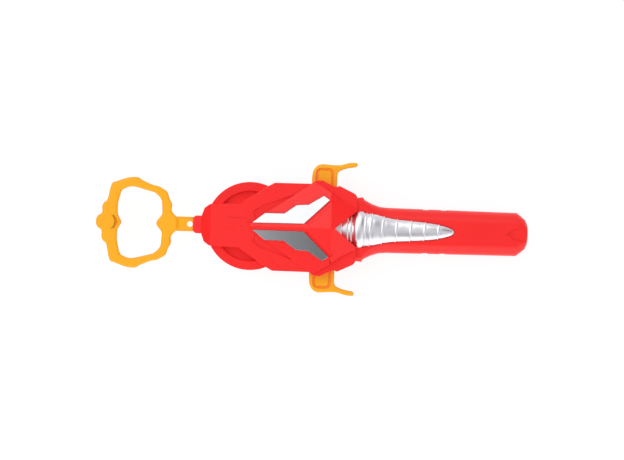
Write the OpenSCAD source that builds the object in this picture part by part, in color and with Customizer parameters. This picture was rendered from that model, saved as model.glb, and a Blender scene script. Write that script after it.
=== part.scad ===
// Hand-held launcher for spinning tops.
// X runs from the pull ring to the end of the handle, Z up from the surface that the launcher lies on,
// and the spindle stands on the Z axis. Millimetres.

/* [Round head] */
// Outside radius of the round head
head_r = 27.3; // [27:0.1:28]
// Wall of the launch cup under the head
cup_wall = 2.4; // [2:0.1:2.8]
// Depth of the launch cup
cup_depth = 8.6; // [8.2:0.1:9]
// Thickness of the roof of the cup, which is the floor of the gears
floor_t = 2.2; // [1.9:0.1:2.4]
// Width of the raised rim on top of the head
rim_w = 5.6; // [4.5:0.1:6.5]
// Height of the rim's top
rim_top = 19; // [18:0.1:20]
// Height of the pocket floors inside the rim
pocket_z = 15.4; // [15:0.1:16]

/* [Housing] */
// Wall thickness of the two shells
wall = 2; // [1.8:0.05:2.2]
// Height of the parting plane between the shells
part_z = 12.5; // [12:0.1:13]
// Half width of the bridge from the nose over the head
bridge_half = 13.4; // [13.2:0.1:14]
// Foremost point of the nose
nose_x = -30; // [-31:0.1:-29.6]
// Half width of the housing at the levers
body_half = 26.6; // [26.4:0.1:27]
// Half width of the handle
grip_half = 14; // [13.7:0.1:14.8]
// Half width of the shoulders where the handle begins
neck_half = 20.1; // [19.5:0.1:21]
// Radius of the long edges of the handle
grip_edge = 8; // [6:0.2:9]
// End of the handle
butt_x = 172; // [171:0.5:178]
// Depth of the scoop in the end of the handle
scoop_depth = 1.5; // [0.8:0.1:1.6]
// Depth of the finger notches in the sides of the handle
notch_depth = 0.6; // [0.3:0.1:0.9]

/* [Cover plates] */
// Thickness of the wing plate
wing_t = 2.5; // [2:0.1:3]
// Half width of the wing plate at its widest tips
wing_half = 29.7; // [29:0.1:30.5]
// Height of the shield's ridge over the wing plate
ridge_h = 8; // [7:0.1:9]
// Height of the shield's tip over the wing plate
tip_h = 1.8; // [1.6:0.1:2]
// Slope of the shield to each side, in degrees
side_fall = 11.5; // [10:0.5:12.5]
// Depth of the pockets beside the front of the shield
pocket_depth = 1.1; // [0.8:0.1:1.6]
// Depth of the grooves behind the inlays
groove_depth = 0.9; // [0.6:0.1:1.2]
// Height that an inlay stands above the shield
inlay_proud = 0.35; // [0.2:0.05:0.6]
// Depth of an inlay's pocket in the shield
inlay_pocket = 0.9; // [0.7:0.1:1.1]

/* [Drill insert] */
// Largest radius of the drill
drill_r = 11.9; // [11.4:0.1:12.2]
// Tip of the drill
drill_tip_x = 126.7; // [124:0.5:128]
// Distance between the drill's ridges
drill_pitch = 8.5; // [8:0.1:9]
// Height of the drill's ridges
drill_ridge = 0.45; // [0.3:0.05:0.7]
// Height of the drill's relief, as a share of a round drill's
drill_flat = 0.6; // [0.5:0.05:0.7]

/* [Pull ring and strip] */
// Length of the ring along the strip
ring_l = 47; // [45:0.5:50]
// Width of the ring
ring_w = 56; // [54:0.5:60]
// Thickness of the ring
ring_t = 8; // [7.4:0.1:9]
// Width of the ring's tab
tab_w = 9; // [8.6:0.1:9.4]
// Radius of the hole in the tab
tab_hole_r = 1.8; // [1.4:0.1:2.2]
// Thickness of the toothed strip
strip_t = 3; // [2.8:0.1:3.1]
// Length of the toothed strip behind the tab
strip_l = 194; // [190:0.5:194.5]

/* [Gears] */
// Module of all teeth
tooth_module = 1; // [0.98:0.01:1.03]
// Pressure angle of all teeth, in degrees
pressure_angle = 25; // [25:0.5:27]
// Teeth of the pinion that the strip turns
pinion_teeth = 10; // [10:1:11]
// Teeth of the idler's wheel
wheel_teeth = 20; // [19:1:20]
// Teeth of the gear on the spindle
spindle_teeth = 10; // [10:1:11]
// Thickness of the wheel and of the spindle gear
gear_h = 3.6; // [3.2:0.1:3.8]
// Play between meshing teeth
backlash = 0.16; // [0.12:0.01:0.22]
// Thickness of the plate over the gears
plate_t = 2.4; // [2.2:0.1:2.6]

/* [Shafts] */
// Radius of the spindle
spindle_r = 2; // [1.8:0.05:2.2]
// Radius of the idler's axle
axle_r = 1.5; // [1.3:0.05:1.7]
// Radius of the levers' pins
pin_r = 1.5; // [1.3:0.05:1.7]
// Wall of the bushes
bush_wall = 1.8; // [1.5:0.1:2]
// Thickness of the flanges of the bushes
flange_t = 0.6; // [0.5:0.05:0.7]

/* [Chuck] */
// Radius of the chuck's disc
chuck_r = 8.5; // [8.2:0.1:9]
// Radius of the spigot that enters the top
spigot_r = 3; // [2.8:0.1:3.2]
// Length of the spigot below the disc
spigot_l = 4.8; // [4.4:0.1:5]
// Thickness of the chuck's disc
disc_t = 2.4; // [2.2:0.1:2.6]

/* [Levers] */
// Thickness of a lever's arm
lever_t = 3.4; // [3.2:0.1:3.5]
// Thickness of a lever's pad
pad_t = 7.4; // [7:0.1:7.8]
// Distance of the pad's outer edge from the middle plane
pad_reach = 40; // [39.5:0.1:41]
// Distance of the claws from the spindle
claw_r = 25.1; // [25:0.05:25.3]
// Wire radius of the lever springs
wire_r = 0.3; // [0.25:0.01:0.4]
// Radius of the lever springs
spring_r = 2.2; // [2.1:0.05:2.5]

/* [Clearances] */
// Radial clearance of running shafts
run_gap = 0.05; // [0.03:0.01:0.08]
// Clearance of sliding and seated pieces
slide_gap = 0.15; // [0.12:0.01:0.2]
// Clearance between turning faces
face_gap = 0.2; // [0.15:0.01:0.25]

/* [Hidden] */
$fn = 64;

red = "#ff3030";
yellow = "#fbb820";
silver = "#c9ccd0";
steel = "#8f959c";
brass = "#c8a24a";
white = "#e8e6df";

// Levels, from the ground up
floor_z = cup_depth + floor_t;
gear_z = floor_z + flange_t + face_gap;
plate_z = gear_z + gear_h + flange_t + face_gap;
plate_top = plate_z + plate_t;
strip_z = plate_top + slide_gap;
strip_top = strip_z + strip_t;
lever_z = plate_top + 0.3;
lever_top = lever_z + lever_t;
pad_z = lever_top - pad_t + 0.2;
roof_z = max(lever_top, strip_top) + 1.4;
body_top = roof_z + wall;
wing_top = body_top + wing_t;
ridge_z = wing_top + ridge_h;

// Gear train: the pinion meshes with the strip, the wheel with the spindle gear
addendum = 0.75 * tooth_module;
dedendum = tooth_module;
tooth_w = PI * tooth_module / 2 - backlash;
tooth_pitch = PI * tooth_module;
strip_half = 3.4;
rack_y = strip_half - 0.15 - addendum;
pinion_rp = tooth_module * pinion_teeth / 2;
wheel_rp = tooth_module * wheel_teeth / 2;
spindle_rp = tooth_module * spindle_teeth / 2;
train_c = wheel_rp + spindle_rp;
idler_y = rack_y + pinion_rp;
idler_x = sqrt(train_c * train_c - idler_y * idler_y);
mesh_turn = atan2(idler_y, idler_x);

// Places of posts and screws, with the same on the other side where they are paired
plate_posts = [[-8, 8], [-8, -8], [14, -9.4], [27.5, 8.3]];
head_screws = [[-16.5, 8]];
body_screws = [[60, 15], [104, 7.8], [160, 7.8]];
cover_points = [[35, 7.8], [54, 13]];
pivot = [33, body_half - 7.1];
spring_x = 46;
post_r = 3;
screw_r = 1.25;
screw_head_r = 2.2;
screw_head_t = 1.4;

// Strip and its guides
strip_x0 = -31;
strip_x1 = strip_x0 + strip_l;
rib_t = 1.5;
rib_in = strip_half + slide_gap + 0.1;
rib_out = rib_in + rib_t;
rib_x = nose_x + wall + 2.4;
rib_end = 154;
rib_z = plate_top + face_gap;
collar_h = strip_t + 3;
nose_top = body_top - 1.6;
tab_t = strip_t + 1;

// Cover plates
notch_x = 52.3;
tip_x = -1;
crown_x = notch_x - 2;
peg_at = [5, 15.6];
peg_r = 1.5;

// Drill insert lies nose up in its recess
drill_disc_x = 65.8;
drill_seat = body_top - 1;
drill_dip = 3.6;
drill_tilt = 3.1;

module both_sides() {
    children();
    mirror([0, 1, 0]) children();
}

module at_points(points, z = 0) {
    for (p = points) translate([p[0], p[1], z]) children();
}

// A closed outline from its half with y above zero
function whole(half) =
    concat(half, [for (i = [len(half) - 1:-1:0]) if (half[i][1] > 0) [half[i][0], -half[i][1]]]);

// Outline moved inwards by d at every corner; outlines run anticlockwise
function unit(v) = v / norm(v);
function inset(p, d) = [for (i = [0:len(p) - 1])
    let (a = p[(i + len(p) - 1) % len(p)], b = p[i], c = p[(i + 1) % len(p)],
        n1 = unit([a[1] - b[1], b[0] - a[0]]), n2 = unit([b[1] - c[1], c[0] - b[0]]),
        m = n1 + n2)
    b + m * 2 * d / (m * m)];

// Prism with bevelled edges from an anticlockwise outline, or with flared ones where the bevel is negative
module bevelled(p, h, bevel) {
    n = len(p);
    levels = [[0, bevel], [abs(bevel), 0], [h - abs(bevel), 0], [h, bevel]];
    points = [for (l = levels) each [for (q = inset(p, l[1])) [q[0], q[1], l[0]]]];
    sides = [for (k = [0:2], i = [0:n - 1])
        [k * n + i, (k + 1) * n + i, (k + 1) * n + (i + 1) % n, k * n + (i + 1) % n]];
    polyhedron(points, concat([[for (i = [0:n - 1]) i]], sides, [[for (i = [n - 1:-1:0]) 3 * n + i]]),
        convexity = 6);
}

// Everything below a roof whose ridge starts at apex, rises along X and falls to both sides
module under_roof(apex, rise, fall) {
    big = 400;
    intersection_for (side = [1, -1])
        translate(apex) rotate([-side * fall, -rise, 0]) translate([-big / 2, -big / 2, -big / 2])
            cube([big, big, big / 2]);
}

// Flat bar with round ends
module strap(p, q, r) {
    d = q - p;
    translate(p) circle(r);
    translate(q) circle(r);
    translate(p) rotate(atan2(d[1], d[0])) translate([0, -r * 0.99]) square([norm(d), r * 1.98]);
}

// Involute teeth
function inv(a) = tan(a) * 180 / PI - a;
function half_tooth(n, r) =
    let (rp = tooth_module * n / 2, rb = rp * cos(pressure_angle), a = r > rb ? acos(rb / r) : 0)
    tooth_w / (2 * rp) * 180 / PI + inv(pressure_angle) - inv(a);
function flank(n) =
    let (rp = tooth_module * n / 2, rb = rp * cos(pressure_angle), low = rp - dedendum)
    concat([low], [for (s = [0:4]) max(rb, low + 0.05) + (rp + addendum - max(rb, low + 0.05)) * s / 4]);
function polar(r, a) = [r * cos(a), r * sin(a)];
function gear_points(n) =
    let (f = flank(n), last = len(f) - 1)
    [for (k = [0:n - 1], s = [0:2 * last + 1])
        let (r = s <= last ? f[s] : f[2 * last + 1 - s], side = s <= last ? -1 : 1)
        polar(r, 360 * k / n + side * half_tooth(n, r))];

module gear(n, h) {
    linear_extrude(h) polygon(gear_points(n));
}

// Outlines of the housing
trunk_half = [[nose_x + 24, bridge_half], [10, body_half - 2.2], [14.5, body_half], [38, body_half],
    [53, body_half - 0.8], [64.6, neck_half + 0.4], [66, neck_half - 0.5]];

module trunk_plan() {
    polygon(whole([for (i = [len(trunk_half) - 1:-1:0]) trunk_half[i]]));
}

module nose_plan() {
    polygon(whole([[2, bridge_half], [nose_x + 6.5, bridge_half - 0.3], [nose_x + 4.7, bridge_half - 0.8],
        [nose_x + 1.7, bridge_half - 3.1], [nose_x, 5.6]]));
}

// The handle is lofted through rounded sections: [x, half width, edge radius, end slope]
grip_end = butt_x - 7;
grip_stations = [[64.6, neck_half + 0.4, 3.5, 0], [66, neck_half - 0.5, 3.5, 0], [69.5, neck_half, 4, 0],
    [70.5, neck_half - 1.7, 4.5, 0], [75, (neck_half + grip_half) / 2 - 1, grip_edge - 2, 0],
    [80, grip_half + 0.4, grip_edge - 0.6, 0], [85, grip_half, grip_edge, 0],
    [grip_end, grip_half - 0.6, grip_edge, 0], [butt_x - 2, grip_half - 4.6, grip_edge - 2, 0.6],
    [butt_x - 0.6, grip_half - 7.2, grip_edge - 3, 1.6], [butt_x, grip_half - 9.6, grip_edge - 4, 3.2]];
edge_steps = 6;

function section(s) =
    let (w = s[1], r = min(s[2], w - 0.3), low = s[3], high = body_top - s[3])
    [for (c = [[1, 1, 0], [-1, 1, 90], [-1, -1, 180], [1, -1, 270]], k = [0:edge_steps])
        let (a = c[2] + 90 * k / edge_steps,
            cz = c[1] > 0 ? high - r : low + r)
        [s[0], c[0] * (w - r) + r * cos(a), cz + r * sin(a)]];

module grip() {
    rings = [for (s = grip_stations) section(s)];
    n = len(rings[0]);
    last = len(rings) - 1;
    sides = [for (k = [0:last - 1], i = [0:n - 1])
        [k * n + i, (k + 1) * n + i, (k + 1) * n + (i + 1) % n, k * n + (i + 1) % n]];
    polyhedron([for (r = rings) each r], concat([[for (i = [0:n - 1]) i]], sides,
        [[for (i = [n - 1:-1:0]) last * n + i]]), convexity = 4);
}

// Hollow of the handle, an eight-sided prism
module grip_hollow() {
    w = grip_half - wall - 0.3;
    cut = 5;
    low = wall + 0.2;
    translate([60, 0, 0]) rotate([90, 0, 90]) linear_extrude(grip_end - 0.4 - 60)
        polygon([[-w, low + cut], [-w + cut, low], [w - cut, low], [w, low + cut],
            [w, roof_z - cut], [w - cut, roof_z], [cut - w, roof_z], [-w, roof_z - cut]]);
}

// Cross-section of the body between the head and the handle, with sloped lower edges
module belly() {
    polygon([[3.3 - body_half, 0], [body_half - 3.3, 0], [body_half + 1, 5], [body_half + 1, 60],
        [-body_half - 1, 60], [-body_half - 1, 5]]);
}

module trunk_block() {
    intersection() {
        linear_extrude(body_top) trunk_plan();
        rotate([90, 0, 90]) translate([0, 0, -40]) linear_extrude(120) belly();
    }
}

module trunk_hollow() {
    intersection() {
        linear_extrude(60) offset(delta = -wall) trunk_plan();
        rotate([90, 0, 90]) translate([0, 0, -40]) linear_extrude(120) offset(delta = -wall) belly();
    }
}

claw_angle = 53;
claw_at = polar(claw_r, claw_angle);
claw_half = 1.9;
claw_t = 0.9;
claw_foot = 1.6;
squeeze = 6.5;
hub_r = 4.2;
arm_half = 2.2;

// Space that a lever's hub and arm sweep inside the upper shell
module arm_room() {
    translate([0, 0, part_z - 1]) linear_extrude(lever_top + face_gap - part_z + 1)
        for (turn = [0, -squeeze / 2, -squeeze]) translate(pivot) rotate(turn)
            strap([0, 0], claw_at - pivot, arm_half + face_gap);
}

// Space swept by a claw as the lever is squeezed
module claw_slot() {
    rotate(claw_angle) translate([claw_r - 2.5, -claw_half - 0.5, -1])
        cube([head_r - claw_r + 3.2, 2 * claw_half + 2.3, floor_z + 60]);
}

module notches() {
    for (x = [107, 118]) translate([x, grip_half - notch_depth, -1]) cube([3.5, 5, 60]);
}

module scoop() {
    translate([0, 0, body_top - scoop_depth]) linear_extrude(10)
        polygon(whole([[butt_x + 2, 5.4], [butt_x - 3, 4.4], [butt_x - 8.5, 3.4], [butt_x - 13.5, 0]]));
}

module lower_shell() color(red) {
    difference() {
        union() {
            difference() {
                intersection() {
                    union() {
                        cylinder(r = head_r, h = part_z);
                        trunk_block();
                        grip();
                    }
                    translate([-60, -60, 0]) cube([300, 120, part_z]);
                }
                // hollow round the gears
                translate([0, 0, floor_z]) cylinder(r = head_r - cup_wall, h = part_z);
                // hollow beside and behind the launch cup
                difference() {
                    trunk_hollow();
                    translate([0, 0, -1]) cylinder(r = head_r, h = floor_z + 1);
                }
                grip_hollow();
                translate([64, 2 - grip_half, wall + 0.2]) cube([4, 2 * grip_half - 4, part_z]);
            }
            // screw posts, pivot posts and gear plate posts
            both_sides() at_points(head_screws, floor_z - 1) cylinder(r = post_r, h = part_z - floor_z + 1);
            both_sides() at_points(body_screws, wall - 0.2) cylinder(r = post_r, h = part_z - wall + 0.2);
            both_sides() translate([pivot[0], pivot[1], 1])
                cylinder(r = post_r + 0.4, h = lever_z - face_gap - 1);
            at_points([for (p = plate_posts) if (norm(p) < head_r - cup_wall) p], floor_z - 1)
                cylinder(r = post_r, h = plate_z - floor_z + 1);
            at_points([for (p = plate_posts) if (norm(p) >= head_r - cup_wall) p], 1)
                cylinder(r = post_r, h = plate_z - 1);
            // seat of the idler
            translate([idler_x, idler_y, floor_z - 1]) cylinder(r = 3, h = gear_z - face_gap - floor_z + 1);
            // cross ribs that carry the strip
            for (x = [40, 52, 70, 84, 97, 111, 125, 139, 152])
                translate([x, -rib_in + 0.3, 1]) cube([rib_t, 2 * rib_in - 0.6, plate_top - 1]);
        }
        translate([0, 0, -1]) cylinder(r = head_r - cup_wall, h = cup_depth + 1);
        both_sides() claw_slot();
        both_sides() notches();
        // bores
        translate([0, 0, -1]) cylinder(r = spindle_r + run_gap + bush_wall, h = 30);
        translate([idler_x, idler_y, cup_depth + 0.8]) cylinder(r = axle_r, h = 20);
        both_sides() translate([pivot[0], pivot[1], part_z]) cylinder(r = pin_r, h = 20);
        at_points(plate_posts, floor_z) cylinder(r = screw_r, h = 20);
        both_sides() at_points(head_screws, -1) cylinder(r = screw_r + 0.3, h = 30);
        both_sides() at_points(body_screws, -1) cylinder(r = screw_r + 0.3, h = 30);
        both_sides() at_points(body_screws, -1) cylinder(r = screw_head_r + 0.3, h = screw_head_t + 3);
    }
}

// Bridge between two heights; its nose slopes down to the collar
module bridge(low, high) {
    slope = (wing_top - nose_top) / 6;
    intersection() {
        translate([0, 0, low]) linear_extrude(high - low) nose_plan();
        rotate([90, 0, 0]) translate([0, 0, -30]) linear_extrude(60)
            polygon([[nose_x - 1, low - 1], [10, low - 1], [10, wing_top + 1], [nose_x + 6, wing_top + 1],
                [nose_x + 6, wing_top], [nose_x, nose_top], [nose_x - 1, nose_top - slope]]);
    }
}

module upper_outside() {
    translate([0, 0, part_z]) cylinder(r = head_r, h = rim_top - part_z);
    translate([0, 0, part_z]) linear_extrude(body_top - part_z) trunk_plan();
    bridge(part_z, body_top);
    intersection() {
        grip();
        translate([-60, -60, part_z]) cube([300, 120, 60]);
    }
}

// Drill from its disc towards the tip: [distance, how much smaller the radius is]
drill_line = [[-15.8, 3.3], [-8.8, 2.6], [-8.4, 3.3], [-4.8, 2.1], [-4.4, 3], [-2.8, 2.4], [-2.4, 2.9],
    [-0.4, 1.7], [0, 0.5], [0.6, 0], [4.6, 0], [5.2, 0.6], [6.4, 1.1], [9.2, 1.3], [14.2, 2.5],
    [19.2, 3.8], [24.2, 4.6], [34.2, 5.4], [44.2, 6.3], [49.2, 7], [54.2, 8.2], [58.2, 9.4], [60.3, 10.6]];
drill_scale = (drill_tip_x - drill_disc_x) / 60.9;
drill_radii = [for (p = drill_line) [p[0] * drill_scale, drill_r - p[1] * drill_r / 11.9]];

module at_drill() {
    translate([drill_disc_x, 0, drill_seat]) scale([1, 1, drill_flat]) translate([0, 0, -drill_dip])
        rotate([0, 90 - drill_tilt, 0]) children();
}

// The same for the recess it lies in
recess_line = [[-16.3, 2.8], [-7, 1.9], [-3, 1.4], [-0.8, 0.9], [-0.6, -0.3], [5.2, -0.3], [6.9, 0.6],
    [10, 0.8], [14.8, 2], [19.9, 3.2], [25, 4], [35, 4.8], [45, 5.7], [50, 6.4], [55, 7.5], [59.2, 8.7],
    [61.5, 10.2]];
recess_radii = [for (p = recess_line) [p[0] * drill_scale, drill_r - p[1] * drill_r / 11.9]];

module drill_turned(radii) {
    at_drill() rotate_extrude()
        polygon(concat([[0, radii[0][0]]], [for (p = radii) [p[1], p[0]]],
            [[0, radii[len(radii) - 1][0] + 0.6]]));
}

module drill_ridges() {
    at_drill() for (k = [0:4]) let (z = 17.6 * drill_scale + k * drill_pitch)
        translate([0, 0, z]) cylinder(r = lookup(z, drill_radii) + drill_ridge, h = 0.9);
}

module drill_insert() color(silver) {
    difference() {
        union() {
            drill_turned(drill_radii);
            drill_ridges();
        }
        translate([0, -40, drill_seat - 60]) cube([200, 80, 60]);
    }
}

module drill_recess() {
    intersection() {
        drill_turned(recess_radii);
        translate([0, -40, drill_seat]) cube([200, 80, 60]);
    }
}

module upper_shell() color(red) {
    difference() {
        union() {
            difference() {
                upper_outside();
                // pockets inside the rim, in front of the wing plate
                difference() {
                    translate([0, 0, pocket_z]) cylinder(r = head_r - rim_w, h = 40);
                    translate([nose_x + 3, -bridge_half, 0]) cube([60, 2 * bridge_half, 60]);
                    linear_extrude(60) trunk_plan();
                }
                // hollows
                translate([0, 0, part_z - 1])
                    cylinder(r = head_r - cup_wall, h = pocket_z - 1.7 - part_z + 1);
                intersection() {
                    translate([nose_x + wall, 2 - bridge_half, part_z - 1])
                        cube([40, 2 * bridge_half - 4, roof_z - part_z + 1]);
                    translate([0, 0, part_z - 1]) linear_extrude(40) offset(delta = -wall) nose_plan();
                }
                translate([0, 0, part_z - 1]) linear_extrude(roof_z - part_z + 1) union() {
                    offset(delta = -wall) trunk_plan();
                    translate([-10, 2 - bridge_half]) square([20, 2 * bridge_half - 4]);
                }
                grip_hollow();
                translate([60, 2 - grip_half, part_z - 1])
                    cube([8, 2 * grip_half - 4, roof_z - part_z + 1]);
                both_sides() arm_room();
            }
            // ribs that guide the strip, open beside the pinion
            translate([rib_x, -rib_out, rib_z]) cube([rib_end - rib_x, rib_t, roof_z + 0.5 - rib_z]);
            translate([rib_x, rib_in, rib_z])
                cube([idler_x - pinion_rp - 2.4 - rib_x, rib_t, roof_z + 0.5 - rib_z]);
            translate([idler_x + pinion_rp + 2.4, rib_in, rib_z])
                cube([rib_end - idler_x - pinion_rp - 2.4, rib_t, roof_z + 0.5 - rib_z]);
            // posts that hang from the roof
            both_sides() at_points(concat(head_screws, body_screws), part_z)
                cylinder(r = post_r, h = roof_z - part_z + 1);
            both_sides() translate([pivot[0], pivot[1], lever_top + face_gap])
                cylinder(r = post_r, h = roof_z - lever_top);
            translate([idler_x, idler_y, strip_top + face_gap + 0.2])
                cylinder(r = 3, h = roof_z - strip_top);
            // spigots of the lever springs
            both_sides() translate([spring_x, rib_out - 0.3, lever_z + lever_t / 2]) rotate([-90, 0, 0])
                cylinder(r = spring_r - wire_r - 0.3, h = 2.3);
        }
        drill_recess();
        scoop();
        both_sides() notches();
        // mouth for the collar
        translate([nose_x - 5, -5.5 - slide_gap, strip_z + strip_t / 2 - collar_h / 2 - slide_gap])
            cube([5 + wall + 0.3, 11 + 2 * slide_gap, collar_h + 2 * slide_gap]);
        // windows for the levers
        both_sides() translate([pivot[0] + 3.8, body_half - wall - 2.4, pad_z - 0.3])
            cube([17.8, 7.4, pad_t + 0.6]);
        // bores
        both_sides() at_points(concat(head_screws, body_screws), part_z - 1)
            cylinder(r = screw_r, h = 9);
        both_sides() translate([pivot[0], pivot[1], part_z]) cylinder(r = pin_r, h = roof_z + 0.8 - part_z);
        translate([idler_x, idler_y, part_z]) cylinder(r = axle_r, h = roof_z + 0.8 - part_z);
        both_sides() at_points(cover_points, part_z) cylinder(r = screw_r + 0.3, h = 40);
        both_sides() at_points([peg_at], part_z) cylinder(r = peg_r + slide_gap, h = 40);
    }
}

module strip_collar() color("#f83c48") {
    z0 = strip_z + strip_t / 2 - collar_h / 2;
    difference() {
        union() {
            translate([nose_x - 5.2, 0, z0]) linear_extrude(collar_h)
                polygon(whole([[9.3, 5.5], [1.5, 5.5], [0, 4]]));
            translate([nose_x + wall + 0.8, -6.6, z0 - 0.8]) cube([1.3, 13.2, collar_h + 1]);
        }
        translate([nose_x - 10, -tab_w / 2 - slide_gap, strip_z + strip_t / 2 - tab_t / 2 - slide_gap])
            cube([20, tab_w + 2 * slide_gap, tab_t + 2 * slide_gap]);
    }
}

// Ring outline: points for a ring 47 long and 56 wide, measured from the start of the tab
ring_root = -45.6;
function ring_map(half) = [for (p = half) [ring_root + (p[0] + 45.6) * ring_l / 47, p[1] * ring_w / 56]];
ring_outer = ring_map([[-48.3, 7.3], [-48.8, 9], [-48.5, 12], [-50.3, 15.5], [-51.7, 19.5], [-55, 21.7],
    [-57, 22.8], [-61, 23.7], [-67, 26.2], [-70, 28], [-74, 28], [-77, 27.4], [-80, 26.4], [-83, 25.2],
    [-86.3, 23.5], [-88.5, 14], [-90.5, 12], [-91.7, 9.5], [-91.7, 5.5], [-94, 3.8], [-95.2, 1.5]]);
ring_inner = ring_map([[-58.3, 0], [-57.5, 1.5], [-56, 3.5], [-54.5, 5.8], [-54.6, 10], [-55, 14],
    [-56.5, 16.3], [-58, 17.7], [-60, 19], [-65, 20.3], [-71, 21.9], [-75, 22], [-78, 20.8],
    [-79.8, 19.5], [-81, 16], [-82, 11], [-82, 6], [-81.3, 3.5], [-80, 1.2], [-79.5, 0]]);

module pull_ring() color(yellow) {
    mid = strip_z + strip_t / 2;
    bevel = 1.6;
    difference() {
        union() {
            translate([0, 0, mid - ring_t / 2])
                bevelled(whole(concat([[ring_root + 1, tab_w / 2], [ring_root - 0.9, 5.2]], ring_outer)),
                    ring_t, bevel);
            translate([ring_root - 2, -tab_w / 2, mid - tab_t / 2])
                cube([strip_x0 - ring_root + 2, tab_w, tab_t]);
            translate([ring_root - 3, -2, mid - tab_t / 2 - 0.8]) cube([4, 4, tab_t + 1.6]);
        }
        translate([0, 0, mid - ring_t / 2 - 0.01]) bevelled(whole(ring_inner), ring_t + 0.02, -bevel);
        // hole near the collar
        translate([-37.2, 0, 0]) cylinder(r = tab_hole_r, h = 60);
        // socket of the strip's tongue
        translate([strip_x0 - 3, -strip_half + 1, mid - strip_t / 4])
            cube([10, 2 * strip_half - 2, strip_t / 2]);
    }
}

module toothed_strip() color(yellow) {
    first = idler_x - 1.5 * tooth_pitch;
    count = floor((strip_x1 - first) / tooth_pitch);
    root = rack_y - dedendum;
    slope = tan(pressure_angle);
    translate([0, 0, strip_z]) linear_extrude(strip_t) polygon(concat(
        [[strip_x0, -strip_half], [strip_x1, -strip_half], [strip_x1, root]],
        [for (k = [count - 1:-1:0], s = [0:3])
            let (x = first + k * tooth_pitch, side = s < 2 ? 1 : -1, low = s == 0 || s == 3)
            [x + side * (tooth_w / 2 + (low ? dedendum : -addendum) * slope),
                low ? root : rack_y + addendum]],
        [[first - tooth_pitch, root], [first - tooth_pitch - 1, strip_half], [strip_x0, strip_half]]));
    // tongue in the tab of the ring
    translate([strip_x0 - 3, -strip_half + 1, strip_z + strip_t / 4])
        cube([3, 2 * strip_half - 2, strip_t / 2]);
}

module idler_gear() color(white) {
    difference() {
        translate([idler_x, idler_y, 0]) {
            translate([0, 0, gear_z]) rotate(180 + mesh_turn) gear(wheel_teeth, gear_h);
            translate([0, 0, gear_z]) cylinder(r = pinion_rp - dedendum - 0.2, h = strip_top - gear_z);
            translate([0, 0, plate_top + face_gap]) rotate(-90)
                gear(pinion_teeth, strip_top - plate_top - face_gap);
        }
        translate([idler_x, idler_y, 0]) cylinder(r = axle_r + run_gap, h = 60);
    }
}

module idler_axle() color(steel) {
    translate([idler_x, idler_y, cup_depth + 0.8])
        cylinder(r = axle_r, h = roof_z + 0.8 - cup_depth - 0.8);
}

module spindle() color(steel) {
    top = plate_top;
    bottom = chuck_top - disc_t - spigot_l + 2.6;
    difference() {
        translate([0, 0, bottom]) cylinder(r = spindle_r, h = top - bottom);
        translate([0, 0, bottom - 1]) cylinder(r = screw_r - 0.25, h = 6);
    }
}

module spindle_gear() color(white) {
    difference() {
        translate([0, 0, gear_z]) rotate(mesh_turn + 180 / spindle_teeth) gear(spindle_teeth, gear_h);
        cylinder(r = spindle_r, h = 60);
    }
}

module bush(z, h, flange_low) {
    difference() {
        union() {
            translate([0, 0, z]) cylinder(r = spindle_r + run_gap + bush_wall, h = h);
            translate([0, 0, flange_low]) cylinder(r = spindle_r + run_gap + bush_wall + 1, h = flange_t);
        }
        cylinder(r = spindle_r + run_gap, h = 60);
    }
}

module lower_bush() color(brass) bush(cup_depth, floor_t + flange_t, floor_z);

module upper_bush() color(brass) bush(plate_z - flange_t, plate_t + flange_t, plate_z - flange_t);

module gear_plate() color(white) {
    difference() {
        translate([0, 0, plate_z]) linear_extrude(plate_t) union() {
            circle(8);
            translate([idler_x, idler_y]) circle(9.6);
            strap([0, 0], [idler_x, idler_y], 6.5);
            for (p = plate_posts) strap(p, p[0] > 20 ? [idler_x, idler_y] : [0, 0], post_r + 0.2);
        }
        cylinder(r = spindle_r + run_gap + bush_wall, h = 60);
        translate([idler_x, idler_y, 0]) cylinder(r = pinion_rp + addendum + 0.5, h = 60);
        at_points(plate_posts) cylinder(r = screw_r + 0.2, h = 60);
    }
}

// Screw with a domed head above z = 0 and its shank below
module screw(r, head_r, head_t, length) {
    translate([0, 0, -length]) cylinder(r = r, h = length + 0.1);
    difference() {
        intersection() {
            cylinder(r = head_r, h = head_t);
            translate([0, 0, head_t - 2.6 * head_r]) sphere(r = 2.6 * head_r);
        }
        for (turn = [0, 90]) rotate(turn) translate([-head_r * 0.6, -0.3, head_t * 0.45])
            cube([head_r * 1.2, 0.6, 5]);
    }
}

module gear_plate_screws() color(steel) {
    at_points(plate_posts, plate_top) screw(screw_r, screw_head_r, screw_head_t, plate_t + 4);
}

chuck_top = cup_depth - face_gap;

module chuck() color(white) {
    z = chuck_top - disc_t;
    difference() {
        union() {
            translate([0, 0, z]) cylinder(r = chuck_r, h = disc_t);
            translate([0, 0, z - spigot_l]) cylinder(r = spigot_r, h = spigot_l);
            for (turn = [0, 180]) rotate(turn) translate([0, 0, z - spigot_l + 1.2])
                rotate_extrude(angle = 56, start = -28) translate([chuck_r - 2.2, 0])
                    square([2.2, spigot_l - 1.1]);
            for (turn = [0, 180]) rotate(turn) translate([0, 0, z - spigot_l + 1.2])
                rotate_extrude(angle = 20, start = -28) translate([chuck_r - 2.2, 0]) square([3, 1.2]);
        }
        translate([0, 0, z - spigot_l + 2.6]) cylinder(r = spindle_r, h = 20);
        translate([0, 0, z - spigot_l - 1]) cylinder(r = screw_r - 0.05, h = 20);
        translate([0, 0, z - spigot_l - 1]) cylinder(r = 2.1, h = 2.3);
    }
}

module chuck_screw() color(steel) {
    translate([0, 0, chuck_top - disc_t - spigot_l + 1.3]) mirror([0, 0, 1])
        screw(screw_r - 0.25, 1.9, 1.1, 6);
}

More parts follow.
